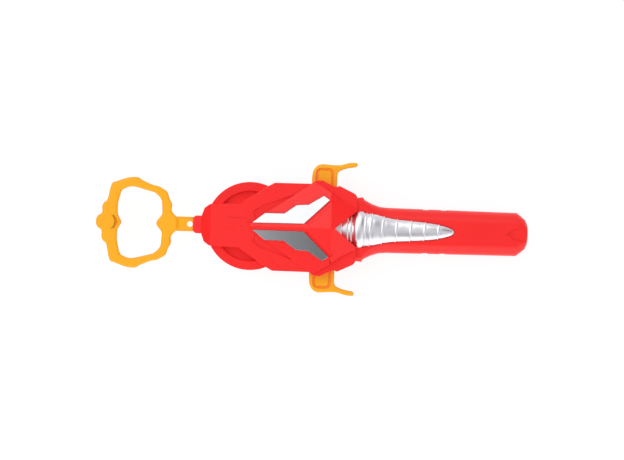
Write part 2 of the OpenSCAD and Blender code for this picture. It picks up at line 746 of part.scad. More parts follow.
// Release lever: hub on its pin, arm with the claw in front, pad and tail outside
pad_x0 = pivot[0] + 4.4;
pad_x1 = pivot[0] + 20.2;
pad_edge = 0.8;
pad_in = body_half - 2.2;
tail_outline = [[pad_x1, pad_in], [pad_x1, pad_reach - 5.2], [pad_x1 + 2.8, pad_reach - 3.4],
    [pad_x1 + 6.8, pad_reach - 2.2], [pad_x1 + 11.8, pad_reach - 1.5], [pad_x1 + 12.5, pad_reach],
    [pad_x1 + 11.8, pad_reach + 1.3], [pad_x1 + 6.8, pad_reach + 1], [pad_x1 + 1.8, pad_reach - 0.7],
    [pad_x1 - 3.2, pad_reach - 0.7], [pad_x0 + 6.2, pad_reach - 0.1], [pad_x0 + 3.4, pad_reach - 1],
    [pad_x0 + 1.2, pad_reach - 3.4], [pad_x0 + 0.2, pad_reach - 6.5], [pad_x0, pad_in]];

module lever() color(yellow) {
    groove = 0.8;
    difference() {
        union() {
            translate([0, 0, pad_z]) linear_extrude(pad_t) polygon(inset(tail_outline, pad_edge));
            translate([0, 0, pad_z + pad_edge]) linear_extrude(pad_t - 2 * pad_edge) polygon(tail_outline);
            // inner plate from the hub to the pad
            translate([0, 0, lever_z]) linear_extrude(lever_t) {
                polygon([[pivot[0], pivot[1] + 0.1 - hub_r], [pad_x1 - 4, pivot[1] - 3.5],
                    [pad_x1 - 1.2, pivot[1] + 0.4], [pad_x1 - 1.2, pad_in + 1.6],
                    [pad_x0 + 1.2, pad_in + 1.6], [pad_x0 + 1.2, pivot[1] + 1.5],
                    [pivot[0], pivot[1] + hub_r - 0.2]]);
                translate(pivot) circle(hub_r);
                strap(pivot, claw_at, arm_half);
            }
            // claw
            rotate(claw_angle) translate([claw_r - claw_t, -claw_half, claw_foot])
                cube([2 * claw_t, 2 * claw_half, lever_z + 0.1 - claw_foot]);
            rotate(claw_angle) translate([claw_r - 2.2, -claw_half, claw_foot])
                cube([2.2, 2 * claw_half, 1.6]);
            // spigot of the spring
            translate([spring_x, pivot[1] - 3, lever_z + lever_t / 2]) rotate([90, 0, 0])
                cylinder(r = spring_r - wire_r - 0.3, h = 2.6);
        }
        translate([pivot[0], pivot[1], 0]) cylinder(r = pin_r + run_gap, h = 60);
        // groove round the thumb pad
        translate([0, 0, pad_z + pad_t - groove]) linear_extrude(5) difference() {
            offset(r = 3.6, $fn = 32) translate([pad_x0 + 6, pad_in - 4.4])
                square([4.2, pad_reach - 1.8 - pad_in]);
            offset(r = 1.8, $fn = 32) translate([pad_x0 + 6, pad_in - 6.4])
                square([4.2, pad_reach - pad_in]);
        }
    }
}

module lever_left() lever();
module lever_right() mirror([0, 1, 0]) lever();

module lever_pin() color(steel) {
    translate([pivot[0], pivot[1], part_z]) cylinder(r = pin_r, h = roof_z + 0.8 - part_z);
}

module lever_pin_left() lever_pin();
module lever_pin_right() mirror([0, 1, 0]) lever_pin();

// Compression spring: a round wire swept along a helix with closed ends
spring_y0 = rib_out + wire_r + 0.02;
spring_y1 = pivot[1] - hub_r + 0.3 - wire_r;
function spring_point(t, turns) =
    let (closed = 0.8, rise = (spring_y1 - spring_y0 - 4 * wire_r) / (turns - 2 * closed),
        y = t < closed ? 2 * wire_r * t / closed
            : t > turns - closed
                ? 2 * wire_r + rise * (turns - 2 * closed) + 2 * wire_r * (t - turns + closed) / closed
            : 2 * wire_r + rise * (t - closed))
    [spring_x + spring_r * cos(360 * t), spring_y0 + y, lever_z + lever_t / 2 + spring_r * sin(360 * t)];

module lever_spring() color(steel) {
    turns = 6;
    per_turn = 14;
    sides = 6;
    n = turns * per_turn;
    rings = [for (k = [0:n])
        let (c = spring_point(k / per_turn, turns), a = 360 * k / per_turn,
            out = [cos(a), 0, sin(a)])
        [for (s = [0:sides - 1])
            c + wire_r * (cos(360 * s / sides) * out + sin(360 * s / sides) * [0, 1, 0])]];
    walls = [for (k = [0:n - 1], s = [0:sides - 1]) let (next = (s + 1) % sides)
        [k * sides + s, (k + 1) * sides + s, (k + 1) * sides + next, k * sides + next]];
    polyhedron([for (r = rings) each r], concat([[for (s = [0:sides - 1]) s]], walls,
        [[for (s = [sides - 1:-1:0]) n * sides + s]]), convexity = 10);
}

module lever_spring_left() lever_spring();
module lever_spring_right() mirror([0, 1, 0]) lever_spring();

module housing_screws() color(steel) both_sides() {
    at_points(head_screws, cup_depth) mirror([0, 0, 1]) screw(screw_r, screw_head_r, screw_head_t, 10);
    at_points(body_screws, screw_head_t + 2) mirror([0, 0, 1])
        screw(screw_r, screw_head_r, screw_head_t, part_z + 4);
}

module cover_screws() color(steel) both_sides() {
    at_points(cover_points, roof_z) mirror([0, 0, 1])
        screw(screw_r, screw_head_r, screw_head_t - 0.2, wall + wing_t + 1.4);
}

// Outlines of the cover plates
wing_half_outline = [[66, neck_half - 0.4], [64.8, neck_half + 1.6], [54.6, wing_half - 3.1],
    [52.8, wing_half - 4], [51, wing_half - 3.6], [44, wing_half], [39.6, wing_half - 0.5],
    [37.5, wing_half - 2.4], [14.5, wing_half - 2.5], [10.2, wing_half - 5],
    [nose_x + 24, bridge_half + 0.6], [nose_x + 23, bridge_half - 0.2]];
shield_half_outline = [[66, 11.2], [65, 12.6], [56, 17.4], [50, 22], [40.6, 28], [38, 27.8],
    [tip_x + 2.5, 2.6], [tip_x, 0]];
inlay_half = [[1.8, 2.3], [33.3, 2.5], [49, 17.5], [45.3, 20], [36, 14.2], [28.6, 13.7], [21.2, 8.3],
    [9.3, 8.2]];

module notch_cut() {
    translate([notch_x, 0]) polygon([[0, 0], [30, -24.1], [30, 24.1]]);
}

module wing_plate() color(red) {
    difference() {
        union() {
            difference() {
                union() {
                    translate([0, 0, body_top]) linear_extrude(wing_t) polygon(whole(wing_half_outline));
                    bridge(body_top, wing_top);
                }
                translate([0, 0, body_top - 1]) linear_extrude(wing_t + 2) notch_cut();
                // shallow pockets between the bands and the shield
                both_sides() translate([0, 0, wing_top - pocket_depth]) linear_extrude(10)
                    polygon([[3.5, 3.6], [28, 20.4], [22.3, 18.4], [8.6, 13.5], [2, 9]]);
            }
            both_sides() at_points([peg_at], body_top - wall) cylinder(r = peg_r, h = wall + 0.5);
            // small ribs on each front corner and along each pocket
            both_sides() translate([13.5, 20.5, body_top]) rotate(36.9) cube([7.4, 0.6, wing_t + 0.5]);
            both_sides() translate([0.6, 8.9, body_top]) rotate(32.5) cube([8.6, 0.6, wing_t + 0.4]);
        }
        drill_turned(recess_radii);
        both_sides() at_points(cover_points) cylinder(r = screw_r + 0.3, h = 60);
    }
}

// Everything under the shield's surface, raised by lift
module shield_under(lift) {
    front_rise = atan((ridge_h - tip_h) / (crown_x - tip_x));
    intersection() {
        under_roof([tip_x, 0, wing_top + tip_h + lift], front_rise, side_fall);
        under_roof([crown_x, 0, ridge_z + lift], -13, side_fall);
    }
}

module shield() color(red) {
    difference() {
        intersection() {
            translate([0, 0, wing_top]) linear_extrude(30) difference() {
                polygon(whole(shield_half_outline));
                notch_cut();
            }
            shield_under(0);
        }
        drill_turned(recess_radii);
        both_sides() difference() {
            translate([0, 0, body_top]) linear_extrude(40) offset(delta = slide_gap) polygon(inlay_half);
            shield_under(-inlay_pocket);
        }
        // groove along the rear edge of each inlay
        both_sides() difference() {
            translate([0, 0, body_top]) linear_extrude(40)
                polygon([[36.4, 1.2], [52, 16.2], [50, 17.8], [34.6, 2.6]]);
            shield_under(-groove_depth);
        }
        both_sides() at_points(cover_points) cylinder(r = screw_r, h = wing_top + 1.6);
    }
}

module inlay() color(silver) {
    difference() {
        intersection() {
            translate([0, 0, body_top]) linear_extrude(40) polygon(inlay_half);
            shield_under(inlay_proud);
        }
        shield_under(-inlay_pocket);
    }
}

module inlay_left() inlay();
module inlay_right() mirror([0, 1, 0]) inlay();

lower_shell();
upper_shell();
wing_plate();
shield();
inlay_left();
inlay_right();
drill_insert();
strip_collar();
pull_ring();
toothed_strip();
idler_gear();
idler_axle();
spindle();
spindle_gear();
lower_bush();
upper_bush();
gear_plate();
gear_plate_screws();
chuck();
chuck_screw();
lever_left();
lever_right();
lever_pin_left();
lever_pin_right();
lever_spring_left();
lever_spring_right();
housing_screws();
cover_screws();
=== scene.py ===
"""Looks of a hand-held launcher for spinning tops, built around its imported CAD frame.

Everything is in metres in the frame of the CAD model: X from the pull ring to the end of the handle,
Z up from the surface that the launcher lies on, and the spindle on the Z axis.
Outlines and tables are written in millimetres and scaled by MM where a mesh is made.
"""

import math

import bmesh
import bpy
from bpy.props import FloatProperty, FloatVectorProperty, IntProperty, PointerProperty
from mathutils import Matrix, Vector
from mathutils.geometry import tessellate_polygon


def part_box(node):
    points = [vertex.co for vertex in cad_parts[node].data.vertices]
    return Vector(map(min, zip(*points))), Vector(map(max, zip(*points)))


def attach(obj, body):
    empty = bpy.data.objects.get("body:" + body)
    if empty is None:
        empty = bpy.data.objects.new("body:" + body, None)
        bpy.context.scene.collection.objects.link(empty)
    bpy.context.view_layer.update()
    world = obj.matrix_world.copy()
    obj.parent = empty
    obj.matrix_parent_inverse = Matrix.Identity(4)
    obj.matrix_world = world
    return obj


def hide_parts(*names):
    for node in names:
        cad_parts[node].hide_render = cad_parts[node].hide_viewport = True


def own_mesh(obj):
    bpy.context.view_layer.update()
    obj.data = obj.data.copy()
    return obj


bl_info = {
    "name": "Spinning top launcher",
    "version": (1, 0, 0),
    "blender": (4, 5, 0),
    "location": "View3D > Sidebar > Launcher",
    "description": "Builds the moulded housing, drill, pull ring, levers and drive of a top launcher",
    "category": "Add Mesh",
}

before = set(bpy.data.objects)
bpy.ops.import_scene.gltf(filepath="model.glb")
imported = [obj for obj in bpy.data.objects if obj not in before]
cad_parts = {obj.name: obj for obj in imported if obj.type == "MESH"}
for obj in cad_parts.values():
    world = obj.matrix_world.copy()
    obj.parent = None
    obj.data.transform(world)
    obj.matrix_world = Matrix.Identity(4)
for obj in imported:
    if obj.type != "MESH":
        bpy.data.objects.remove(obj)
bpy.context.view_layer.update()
MM = 0.001

# Cosines above which neighbours lie in one plane, and a face, folded over or not, still belongs to it
PLANE_DOT = 0.999999
FOLD_DOT = 0.9995
# Most of a neighbouring edge that a rounding takes, and the angle between edges below which it shrinks
EDGE_SHARE = 0.4
NEEDLE = math.radians(50)
# Least weight of a rounding, and share of its area by which a plane that is filled anew may be off
LEAST_WEIGHT = 0.03
AREA_SLACK = 0.004
# Least squared sum of two edge normals in an inset, so that sharp corners don't run out
MITRE_LIMIT = 0.8


def linear(hex_code):
    """Linear RGBA of an sRGB hex colour."""
    channels = [int(hex_code[i : i + 2], 16) / 255 for i in (1, 3, 5)]
    return [c / 12.92 if c <= 0.04045 else ((c + 0.055) / 1.055) ** 2.4 for c in channels] + [1.0]


def span(node):
    """Lowest and highest corner of a CAD node in millimetres."""
    low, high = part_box(node)
    return low / MM, high / MM


STRIP_LOW, STRIP_HIGH = span("toothed_strip")
STRIP_MID = (STRIP_LOW.z + STRIP_HIGH.z) / 2
RING_LOW, RING_HIGH = span("pull_ring")
LEVER_LOW, LEVER_HIGH = span("lever_left")
DRILL_LOW = span("drill_insert")[0]

# Outlines in millimetres, the half with Y above zero where a shape is symmetrical
RING_OUTER = [
    (-44.6, 0.9), (-44.8, 2.9), (-45.6, 4.4), (-46.9, 5.6), (-48.3, 7.3), (-48.8, 9), (-48.5, 12),
    (-50.3, 15.5), (-51.7, 19.5), (-55, 21.7), (-57, 22.8), (-61, 23.7), (-67, 26.2), (-70, 28),
    (-74, 28), (-77, 27.4), (-80, 26.4), (-83, 25.2), (-86.3, 23.5), (-88.5, 14),
    (-90.5, 12), (-91.7, 9.5), (-91.7, 5.5), (-94, 3.8), (-95.2, 1.5),
]
RING_INNER = [
    (-58, 0), (-57.75, 1), (-57.1, 2.1), (-56, 3.5), (-54.5, 5.8), (-54.6, 10), (-55, 14),
    (-56.5, 16.3), (-58, 17.7), (-60, 19), (-65, 20.3), (-71, 21.9), (-75, 22),
    (-78, 20.8), (-79.8, 19.5), (-81, 16), (-82, 11), (-82, 6), (-81.4, 3.7),
    (-80.5, 2.1), (-79.9, 1), (-79.7, 0),
]
PAD_OUTLINE = [
    (53.2, 24.4), (53.2, 34.8), (56, 36.6), (60, 37.8), (65, 38.5), (65.7, 40), (65, 41.3),
    (60, 41), (55, 39.3), (50, 39.3), (43.6, 39.9), (40.8, 39), (38.6, 36.6), (37.6, 33.5),
    (37.4, 24.4),
]
ARM_OUTLINE = [
    (33, 15.4), (49.2, 16), (52, 19.9), (52, 26), (38.6, 26), (38.6, 21), (33, 23.5),
]
# Ring: centres of the tab's hole and of the boss, and radius of the crescent by the boss
TAB_HOLE = (-37.2, 0)
BOSS_AT = (-89.4, 0)
CRESCENT_R = 6.1
# Ramp from the ring to its tab: start and length along X, share that stays level, half width and steps
RAMP_START = -51.0
RAMP_LENGTH = 9.5
RAMP_LEVEL = 0.25
RAMP_HALF = 4.1
RAMP_STEPS = 12

# Levers: pivot, height of the pad, the claw's place round the spindle and its half width,
# and the wire's radius in the springs
PIVOT = (33, 19.5)
PAD_HEIGHT = 7.4
CLAW_ANGLE = math.radians(53)
CLAW_R = 25.1
CLAW_HALF = 1.9
SPRING_WIRE = 0.3

# Drill: origin and tilt of its axis, share of its height that is kept, its upright side,
# and its profile as distance along the axis from the disc and radius
DRILL_ORIGIN = Vector((65.8, 0, -3.6))
DRILL_TILT = 3.1
DRILL_FLAT = 0.5
DRILL_WALL = 0.85
DRILL_PROFILE = [
    (-15.8, 8.6), (-9.2, 9.2), (-8.8, 9), (-8.6, 8.5), (-8.2, 8.6), (-5.2, 9.8), (-4.8, 9.7),
    (-4.5, 8.9), (-4.1, 9), (-3, 9.5), (-2.7, 9.4), (-2.4, 9), (-0.9, 9.9), (-0.5, 10.6),
    (0, 11.2), (0.6, 11.6), (1.4, 11.8), (2.4, 11.9), (3.4, 11.85), (4.2, 11.6), (4.8, 11.2),
    (5.1, 10.9), (6.9, 10.75), (9.2, 10.5), (11.7, 10), (14.2, 9.3), (16.7, 8.6), (19.2, 8.1), (21.7, 7.6),
    (24.2, 7.3), (29.2, 6.9), (34.2, 6.5), (39.2, 6.1), (44.2, 5.6), (49.2, 4.9), (52.2, 4.3),
    (54.7, 3.6), (57.2, 2.8), (59.2, 1.9), (60.4, 1), (60.9, 0),
]
DRILL_RIDGES = [6, 9.1, 16.6, 25.1, 33.9, 42.5, 51]
# One ridge: distance from its crest and height above the cone, as shares of its height; then the lean
# and the distance from the disc over which it sets in
RIDGE_SHAPE = [
    (-1.6, 0), (-1, 0.14), (-0.55, 0.8), (0, 1), (0.55, 0.8), (0.95, -0.25), (1.6, -0.4),
    (3.2, -0.2), (5.5, 0),
]
DRILL_SHEAR = 0.073
LEAN_RUN = 8

# Bow of the inlays: tilt at their ends, and middle and half length along X
INLAY_BOW = math.radians(3)
INLAY_MIDDLE = 25
INLAY_HALF = 24

# Handle's section: distance along X, half width and edge radius; then its height, how far off its skin
# a point may be, where the bosses inside it begin, and the seam on the nose
HANDLE = [(80, 14.4, 7.4), (85, 14, 8), (165, 13.4, 8)]
HANDLE_TOP = 25.5
SKIN_SLACK = 0.15
BOSS_X = 100.0
SEAM_Z = 25.5
NOSE_BACK = -23.0

# Shallow grooves: two on the bridge and the throat in the collar
BRIDGE_LINES = [
    [(-15, 4.9), (-4, 4.5), (-4, 5), (-15, 5.4)],
    [(-14, -1.2), (-8, -1.3), (-8, -0.9), (-14, -0.8)],
]
COLLAR_NOTCH = [(-32.6, -1.6), (-31.4, -1.9), (-31.4, 1.9), (-32.6, 1.6), (-32.9, 0)]

# Rack: pitch, pitch line, first tooth, their number, flank angle, height above and depth below the line,
# depth to which a tooth stands in the bar, backlash, and half width of the bar
TOOTH_PITCH = math.pi
RACK_LINE = 2.5
RACK_START = 8.278
RACK_TEETH = 49
PRESSURE_ANGLE = math.radians(25)
ADDENDUM = 0.75
DEDENDUM = 1.0
SUNK = 0.3
BACKLASH = 0.16
BAR_HALF = 3.4

# Places of the screws on the side with Y above zero, and the profile of their heads
SHELL_SCREWS = [(60, 15), (104, 7.8), (160, 7.8)]
CUP_SCREWS = [(-16.5, 8)]
ROOF_SCREWS = [(35, 7.8), (54, 13)]
SCREW_HEAD = [
    (0, -1.4), (0.9, -1.38), (1.5, -1.25), (1.95, -0.95), (2.18, -0.5), (2.2, -0.1), (2.1, 0), (1.25, 0),
]


def whole(half):
    """Closed outline from its half, anticlockwise as the half is."""
    return list(half) + [(x, -y) for x, y in reversed(half) if y > 0]


def polar(centre, radius, angle):
    """Point at a radius and an angle from a centre."""
    return centre[0] + radius * math.cos(angle), centre[1] + radius * math.sin(angle)


def circle(centre, radius, count):
    """Anticlockwise outline of a circle."""
    return [polar(centre, radius, 2 * math.pi * k / count) for k in range(count)]


def rounded_box(x0, y0, x1, y1, radius, steps=6):
    """Anticlockwise outline of a rectangle with round corners."""
    left, right, low, high = x0 + radius, x1 - radius, y0 + radius, y1 - radius
    points = []
    for centre, start in (((right, high), 0), ((left, high), 90), ((left, low), 180), ((right, low), 270)):
        points += [polar(centre, radius, math.radians(start + 90 * k / steps)) for k in range(steps + 1)]
    return points


def neighbours(points, steps):
    """For each point of a closed outline, the points at the given steps from it."""
    count = len(points)
    for i in range(count):
        yield [Vector(points[(i + step) % count]) for step in steps]


def smooth_outline(points, per_edge):
    """The outline with points added on a smooth curve through its own."""
    made = []
    for p0, p1, p2, p3 in neighbours(points, (-1, 0, 1, 2)):
        for k in range(per_edge):
            t = k / per_edge
            square = (2 * p0 - 5 * p1 + 4 * p2 - p3) * t * t
            cube = (3 * p1 - p0 - 3 * p2 + p3) * t**3
            made.append(tuple(0.5 * (2 * p1 + (p2 - p0) * t + square + cube)))
    return made


def eased(points, reach, steps=3):
    """The outline with its corners turned into short curves that begin a reach away from them."""
    made = []
    for a, b, c in neighbours(points, (-1, 0, 1)):
        first, last = (b + (p - b).normalized() * min(reach, EDGE_SHARE * (p - b).length) for p in (a, c))
        for k in range(steps + 1):
            t = k / steps
            made.append(tuple(first * (1 - t) ** 2 + b * 2 * t * (1 - t) + last * t * t))
    return made


def inset(points, distance):
    """The outline moved to its left by distance: inwards on an anticlockwise one."""
    made = []
    for a, b, c in neighbours(points, (-1, 0, 1)):
        first, second = (b - a).normalized(), (c - b).normalized()
        normal = Vector((-first.y - second.y, first.x + second.x))
        made.append(tuple(b + normal * (2 * distance / max(normal.length_squared, MITRE_LIMIT))))
    return made


def corners_at(bm, points):
    """New corners of a bmesh at points in millimetres."""
    return [bm.verts.new(Vector(point) * MM) for point in points]


def bridge(bm, rings):
    """Faces between each closed ring of corners and the next, also where one is a single corner."""
    for low, high in zip(rings, rings[1:]):
        for i in range(max(len(low), len(high))):
            a, b = low[i % len(low)], low[(i + 1) % len(low)]
            c, d = high[(i + 1) % len(high)], high[i % len(high)]
            bm.faces.new(list(dict.fromkeys((a, b, c, d))))


def plate_mesh(loops, z0, z1, edge, steps=3):
    """Closed plate with round edges between two heights; outlines run anticlockwise, holes clockwise."""
    levels = []
    for k in range(steps + 1):
        a = math.pi / 2 * k / steps
        levels.append((edge * (1 - math.sin(a)), z0 + edge * (1 - math.cos(a))))
    levels += [(d, z0 + z1 - z) for d, z in reversed(levels)]
    bm = bmesh.new()
    caps = [[], []]
    for loop in loops:
        rings = [corners_at(bm, [(x, y, z) for x, y in inset(loop, d)]) for d, z in levels]
        bridge(bm, rings)
        caps[0].append(rings[0])
        caps[1].append(rings[-1])
    for side, cap in enumerate(caps):
        flat = [vertex for ring in cap for vertex in ring]
        for triangle in tessellate_polygon([[v.co for v in ring] for ring in cap]):
            corners = [flat[i] for i in triangle]
            up = (corners[1].co - corners[0].co).cross(corners[2].co - corners[0].co).z > 0
            if up != bool(side):
                corners.reverse()
            bm.faces.new(corners)
    bmesh.ops.dissolve_limit(bm, angle_limit=0.002, verts=bm.verts, edges=bm.edges)
    return finished(bm)


def finished(bm):
    """Mesh made from a bmesh, which is freed."""
    mesh = bpy.data.meshes.new("shape")
    bm.to_mesh(mesh)
    bm.free()
    return mesh


def lathe_mesh(profile, segments):
    """Closed body of revolution round Z from radius and height pairs that start and end on the axis."""
    bm = bmesh.new()
    rings = []
    for radius, height in profile:
        around = circle((0, 0), radius, segments) if radius else [(0, 0)]
        rings.append(corners_at(bm, [(x, y, height) for x, y in around]))
    bridge(bm, rings)
    bmesh.ops.recalc_face_normals(bm, faces=bm.faces)
    return finished(bm)


def shade(mesh, degrees):
    """Smooth shading, with edges sharper than the angle kept hard."""
    mesh.shade_smooth()
    mesh.set_sharp_from_angle(angle=math.radians(degrees))
    return mesh


def mark_groove_shade(mesh, test):
    """Marks the faces whose middle, in millimetres, passes the test as lying in a groove, for painted shade.
    """
    marks = mesh.attributes.new("groove", "FLOAT", "FACE")
    for face in mesh.polygons:
        marks.data[face.index].value = 1.0 if test(Vector(face.center) / MM) else 0.0
    return mesh


def place(mesh, matrix):
    """Moves a mesh by a matrix in metres, and mends its normals after a mirror."""
    mesh.transform(matrix)
    if matrix.determinant() < 0:
        mesh.flip_normals()
    return mesh


def linked(name, data):
    """New object in the scene."""
    obj = bpy.data.objects.new(name, data)
    bpy.context.scene.collection.objects.link(obj)
    return obj


def evaluated(obj):
    """Plain mesh of an object with its modifiers applied; the object goes."""
    bpy.context.view_layer.update()
    graph = bpy.context.evaluated_depsgraph_get()
    mesh = bpy.data.meshes.new_from_object(obj.evaluated_get(graph))
    bpy.data.objects.remove(obj)
    return mesh


def combined(base, others, operation):
    """Exact boolean of a mesh with others, one after another."""
    work = linked("work", base)
    tools = [linked("tool", mesh) for mesh in others]
    for tool in tools:
        modifier = work.modifiers.new("Boolean", "BOOLEAN")
        modifier.operation = operation
        modifier.solver = "EXACT"
        modifier.object = tool
    mesh = evaluated(work)
    for tool in tools:
        bpy.data.objects.remove(tool)
    return mesh


def box_mesh(x0, x1, y0, y1, z0, z1):
    """Plain block used as a tool or joined to a piece."""
    bm = bmesh.new()
    middle = Vector(((x0 + x1) / 2, (y0 + y1) / 2, (z0 + z1) / 2)) * MM
    size = Vector((x1 - x0, y1 - y0, z1 - z0)) * MM
    bmesh.ops.create_cube(bm, size=1, matrix=Matrix.Translation(middle) @ Matrix.Diagonal((*size, 1)))
    return finished(bm)


def plane_groups(bm, layer):
    """Numbers the faces in a layer so that neighbours in one plane share a number."""
    for face in bm.faces:
        face[layer] = 0
    count = 0
    for first in bm.faces:
        if first[layer]:
            continue
        count += 1
        first[layer] = count
        open_faces = [first]
        while open_faces:
            face = open_faces.pop()
            for line in face.edges:
                for other in line.link_faces:
                    if not other[layer] and first.normal.dot(other.normal) > PLANE_DOT:
                        other[layer] = count
                        open_faces.append(other)


def drop_faces(bm, faces, border):
    """Deletes faces and the edges between them, but not those of their border."""
    lines = dict.fromkeys(e for f in faces for e in f.edges)
    bmesh.ops.delete(bm, geom=faces, context="FACES_ONLY")
    loose = [e for e in lines if not e.link_faces and e not in border]
    bmesh.ops.delete(bm, geom=loose, context="EDGES_FACES")


def retile(bm, layer, normals):
    """Fills each plane anew from its border, so that no thin triangle lies folded over. The old faces
    come back where the new ones don't cover the same area."""
    planes = {}
    for face in bm.faces:
        normal = normals.get(face[layer])
        if normal and abs(face.normal.dot(normal)) > FOLD_DOT:
            planes.setdefault(face[layer], []).append(face)
    for number, faces in planes.items():
        normal = normals[number]
        if len(faces) < 3 or all(f.normal.dot(normal) > 0 for f in faces):
            continue
        wanted = sum(math.copysign(f.calc_area(), f.normal.dot(normal)) for f in faces)
        inside = set(faces)
        border = [e for f in faces for e in f.edges if sum(g in inside for g in e.link_faces) == 1]
        old = [list(f.verts) for f in faces]
        drop_faces(bm, faces, border)
        made = bmesh.ops.triangle_fill(bm, edges=border, use_beauty=True, normal=normal)["geom"]
        new = [f for f in made if isinstance(f, bmesh.types.BMFace)]
        covered = sum(f.calc_area() for f in new)
        failed = abs(covered - wanted) > AREA_SLACK * wanted or any(len(e.link_faces) != 2 for e in border)
        if failed:
            drop_faces(bm, new, border)
            new = [bm.faces.new(corners) for corners in old]
        for face in new:
            face[layer] = number
            face.normal_update()
            if not failed and face.normal.dot(normal) < 0:
                face.normal_flip()


def plane_normals(mesh, degrees):
    """Corner normals in which wide planes stay flat and the rounded edges turn from one to the next."""
    bm = bmesh.new()
    bm.from_mesh(mesh)
    layer = bm.faces.layers.int.new("plane")
    plane_groups(bm, layer)
    area = {}
    for face in bm.faces:
        area[face[layer]] = area.get(face[layer], 0) + face.calc_area()
    limit = math.cos(math.radians(degrees))
    found = []
    for face in bm.faces:
        for corner in face.loops:
            near = {f[layer]: f.normal for f in corner.vert.link_faces if f.normal.dot(face.normal) > limit}
            total = sum((normal * area[number] for number, normal in near.items()), Vector())
            found.append(total.normalized() if total.length > 0 else face.normal.copy())
    bm.free()
    mesh.shade_smooth()
    mesh.normals_split_custom_set(found)
    return mesh


def needle(vertex, line, hard):
    """Smallest angle at a vertex between a hard edge and the other hard edges that end there."""
    along = line.other_vert(vertex).co - vertex.co
    others = [other for other in vertex.link_edges if other in hard and other != line]
    return min((along.angle(other.other_vert(vertex).co - vertex.co) for other in others), default=math.pi)


def dressed_mesh(node, edge, degrees=22, seam=None, mend=None):
    """Copy of a CAD node with its triangles merged into planes and its hard edges rounded, less where
    it has fine detail, and not where the middle of an edge, in millimetres, passes the seam test.
    The mend is a function that changes the copy first."""
    bm = bmesh.new()
    bm.from_mesh(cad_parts[node].data)
    if mend:
        mend(bm)
    bmesh.ops.remove_doubles(bm, verts=bm.verts, dist=1e-6)
    bmesh.ops.dissolve_limit(bm, angle_limit=math.radians(0.03), verts=bm.verts, edges=bm.edges)
    bmesh.ops.triangulate(bm, faces=bm.faces, ngon_method="BEAUTY")
    plane = bm.faces.layers.int.new("plane")
    plane_groups(bm, plane)
    normals = {face[plane]: face.normal.copy() for face in sorted(bm.faces, key=lambda f: f.calc_area())}
    weight = bm.edges.layers.float.new("bevel_weight_edge")
    hard = {line for line in bm.edges if line.calc_face_angle(0) > math.radians(degrees)}
    for line in hard:
        middle = (line.verts[0].co + line.verts[1].co) / 2 / MM
        if seam and seam(middle):
            continue
        beside = [other for vertex in line.verts for other in vertex.link_edges if other in hard]
        near = min(other.calc_length() for other in beside)
        sharp = min(needle(vertex, line, hard) for vertex in line.verts)
        line[weight] = max(LEAST_WEIGHT, min(1, EDGE_SHARE * near / edge, sharp / NEEDLE))
    work = linked("work", finished(bm))
    modifier = work.modifiers.new("Bevel", "BEVEL")
    modifier.limit_method = "WEIGHT"
    modifier.width = edge
    modifier.segments = 2
    modifier.use_clamp_overlap = False
    modifier.miter_outer = "MITER_SHARP"
    bm = bmesh.new()
    bm.from_mesh(evaluated(work))
    retile(bm, bm.faces.layers.int["plane"], normals)
    return plane_normals(finished(bm), 32)


def piece(name, mesh, material, body, replaced=()):
    """Object for a finished mesh that rides on a body and stands for CAD nodes."""
    obj = linked(name, mesh)
    mesh.name = name
    mesh.materials.clear()
    mesh.materials.append(material)
    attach(obj, body)
    if replaced:
        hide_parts(*replaced)
    return obj


def carried(nodes, material):
    """CAD nodes that stay as they are, with a finish of their own."""
    for node in nodes:
        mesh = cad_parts[node].data
        mesh.materials.clear()
        mesh.materials.append(material)


def add_node(tree, kind, links=None, **settings):
    """New node with its settings, and its inputs as values or as sockets to link from."""
    node = tree.nodes.new(kind)
    for key, value in settings.items():
        setattr(node, key, value)
    for key, value in (links or {}).items():
        if isinstance(value, bpy.types.NodeSocket):
            tree.links.new(value, node.inputs[key])
        else:
            node.inputs[key].default_value = value
    return node


def new_material(name):
    """Material with an empty tree and its output; returns both and the Principled shader."""
    material = bpy.data.materials.new(name)
    material.use_nodes = True
    tree = material.node_tree
    tree.nodes.clear()
    shader = add_node(tree, "ShaderNodeBsdfPrincipled")
    add_node(tree, "ShaderNodeOutputMaterial", {"Surface": shader.outputs[0]})
    return material, tree, shader


def noise(tree, vector, size_mm, detail):
    """Noise with features of a size in millimetres."""
    links = {"Vector": vector, "Scale": 1 / (size_mm * MM), "Detail": detail}
    return add_node(tree, "ShaderNodeTexNoise", links).outputs["Fac"]


def mixed(tree, factor, first, second):
    """Colour between two, which are values or sockets."""
    links = {"Factor": factor, "A": first, "B": second}
    return add_node(tree, "ShaderNodeMix", links, data_type="RGBA").outputs["Result"]


def surface(tree, shader, colour, smear, rough, height, dent, depth):
    """Gives a shader its colour, a roughness that a smear takes from the first of a pair to the second,
    and a bump of a dent's strength and depth."""
    gloss = add_node(tree, "ShaderNodeMapRange", {"Value": smear, "To Min": rough[0], "To Max": rough[1]})
    bump = add_node(tree, "ShaderNodeBump", {"Height": height, "Strength": dent, "Distance": depth})
    for key, socket in (("Base Color", colour), ("Roughness", gloss.outputs[0]), ("Normal", bump.outputs[0])):
        tree.links.new(socket, shader.inputs[key])


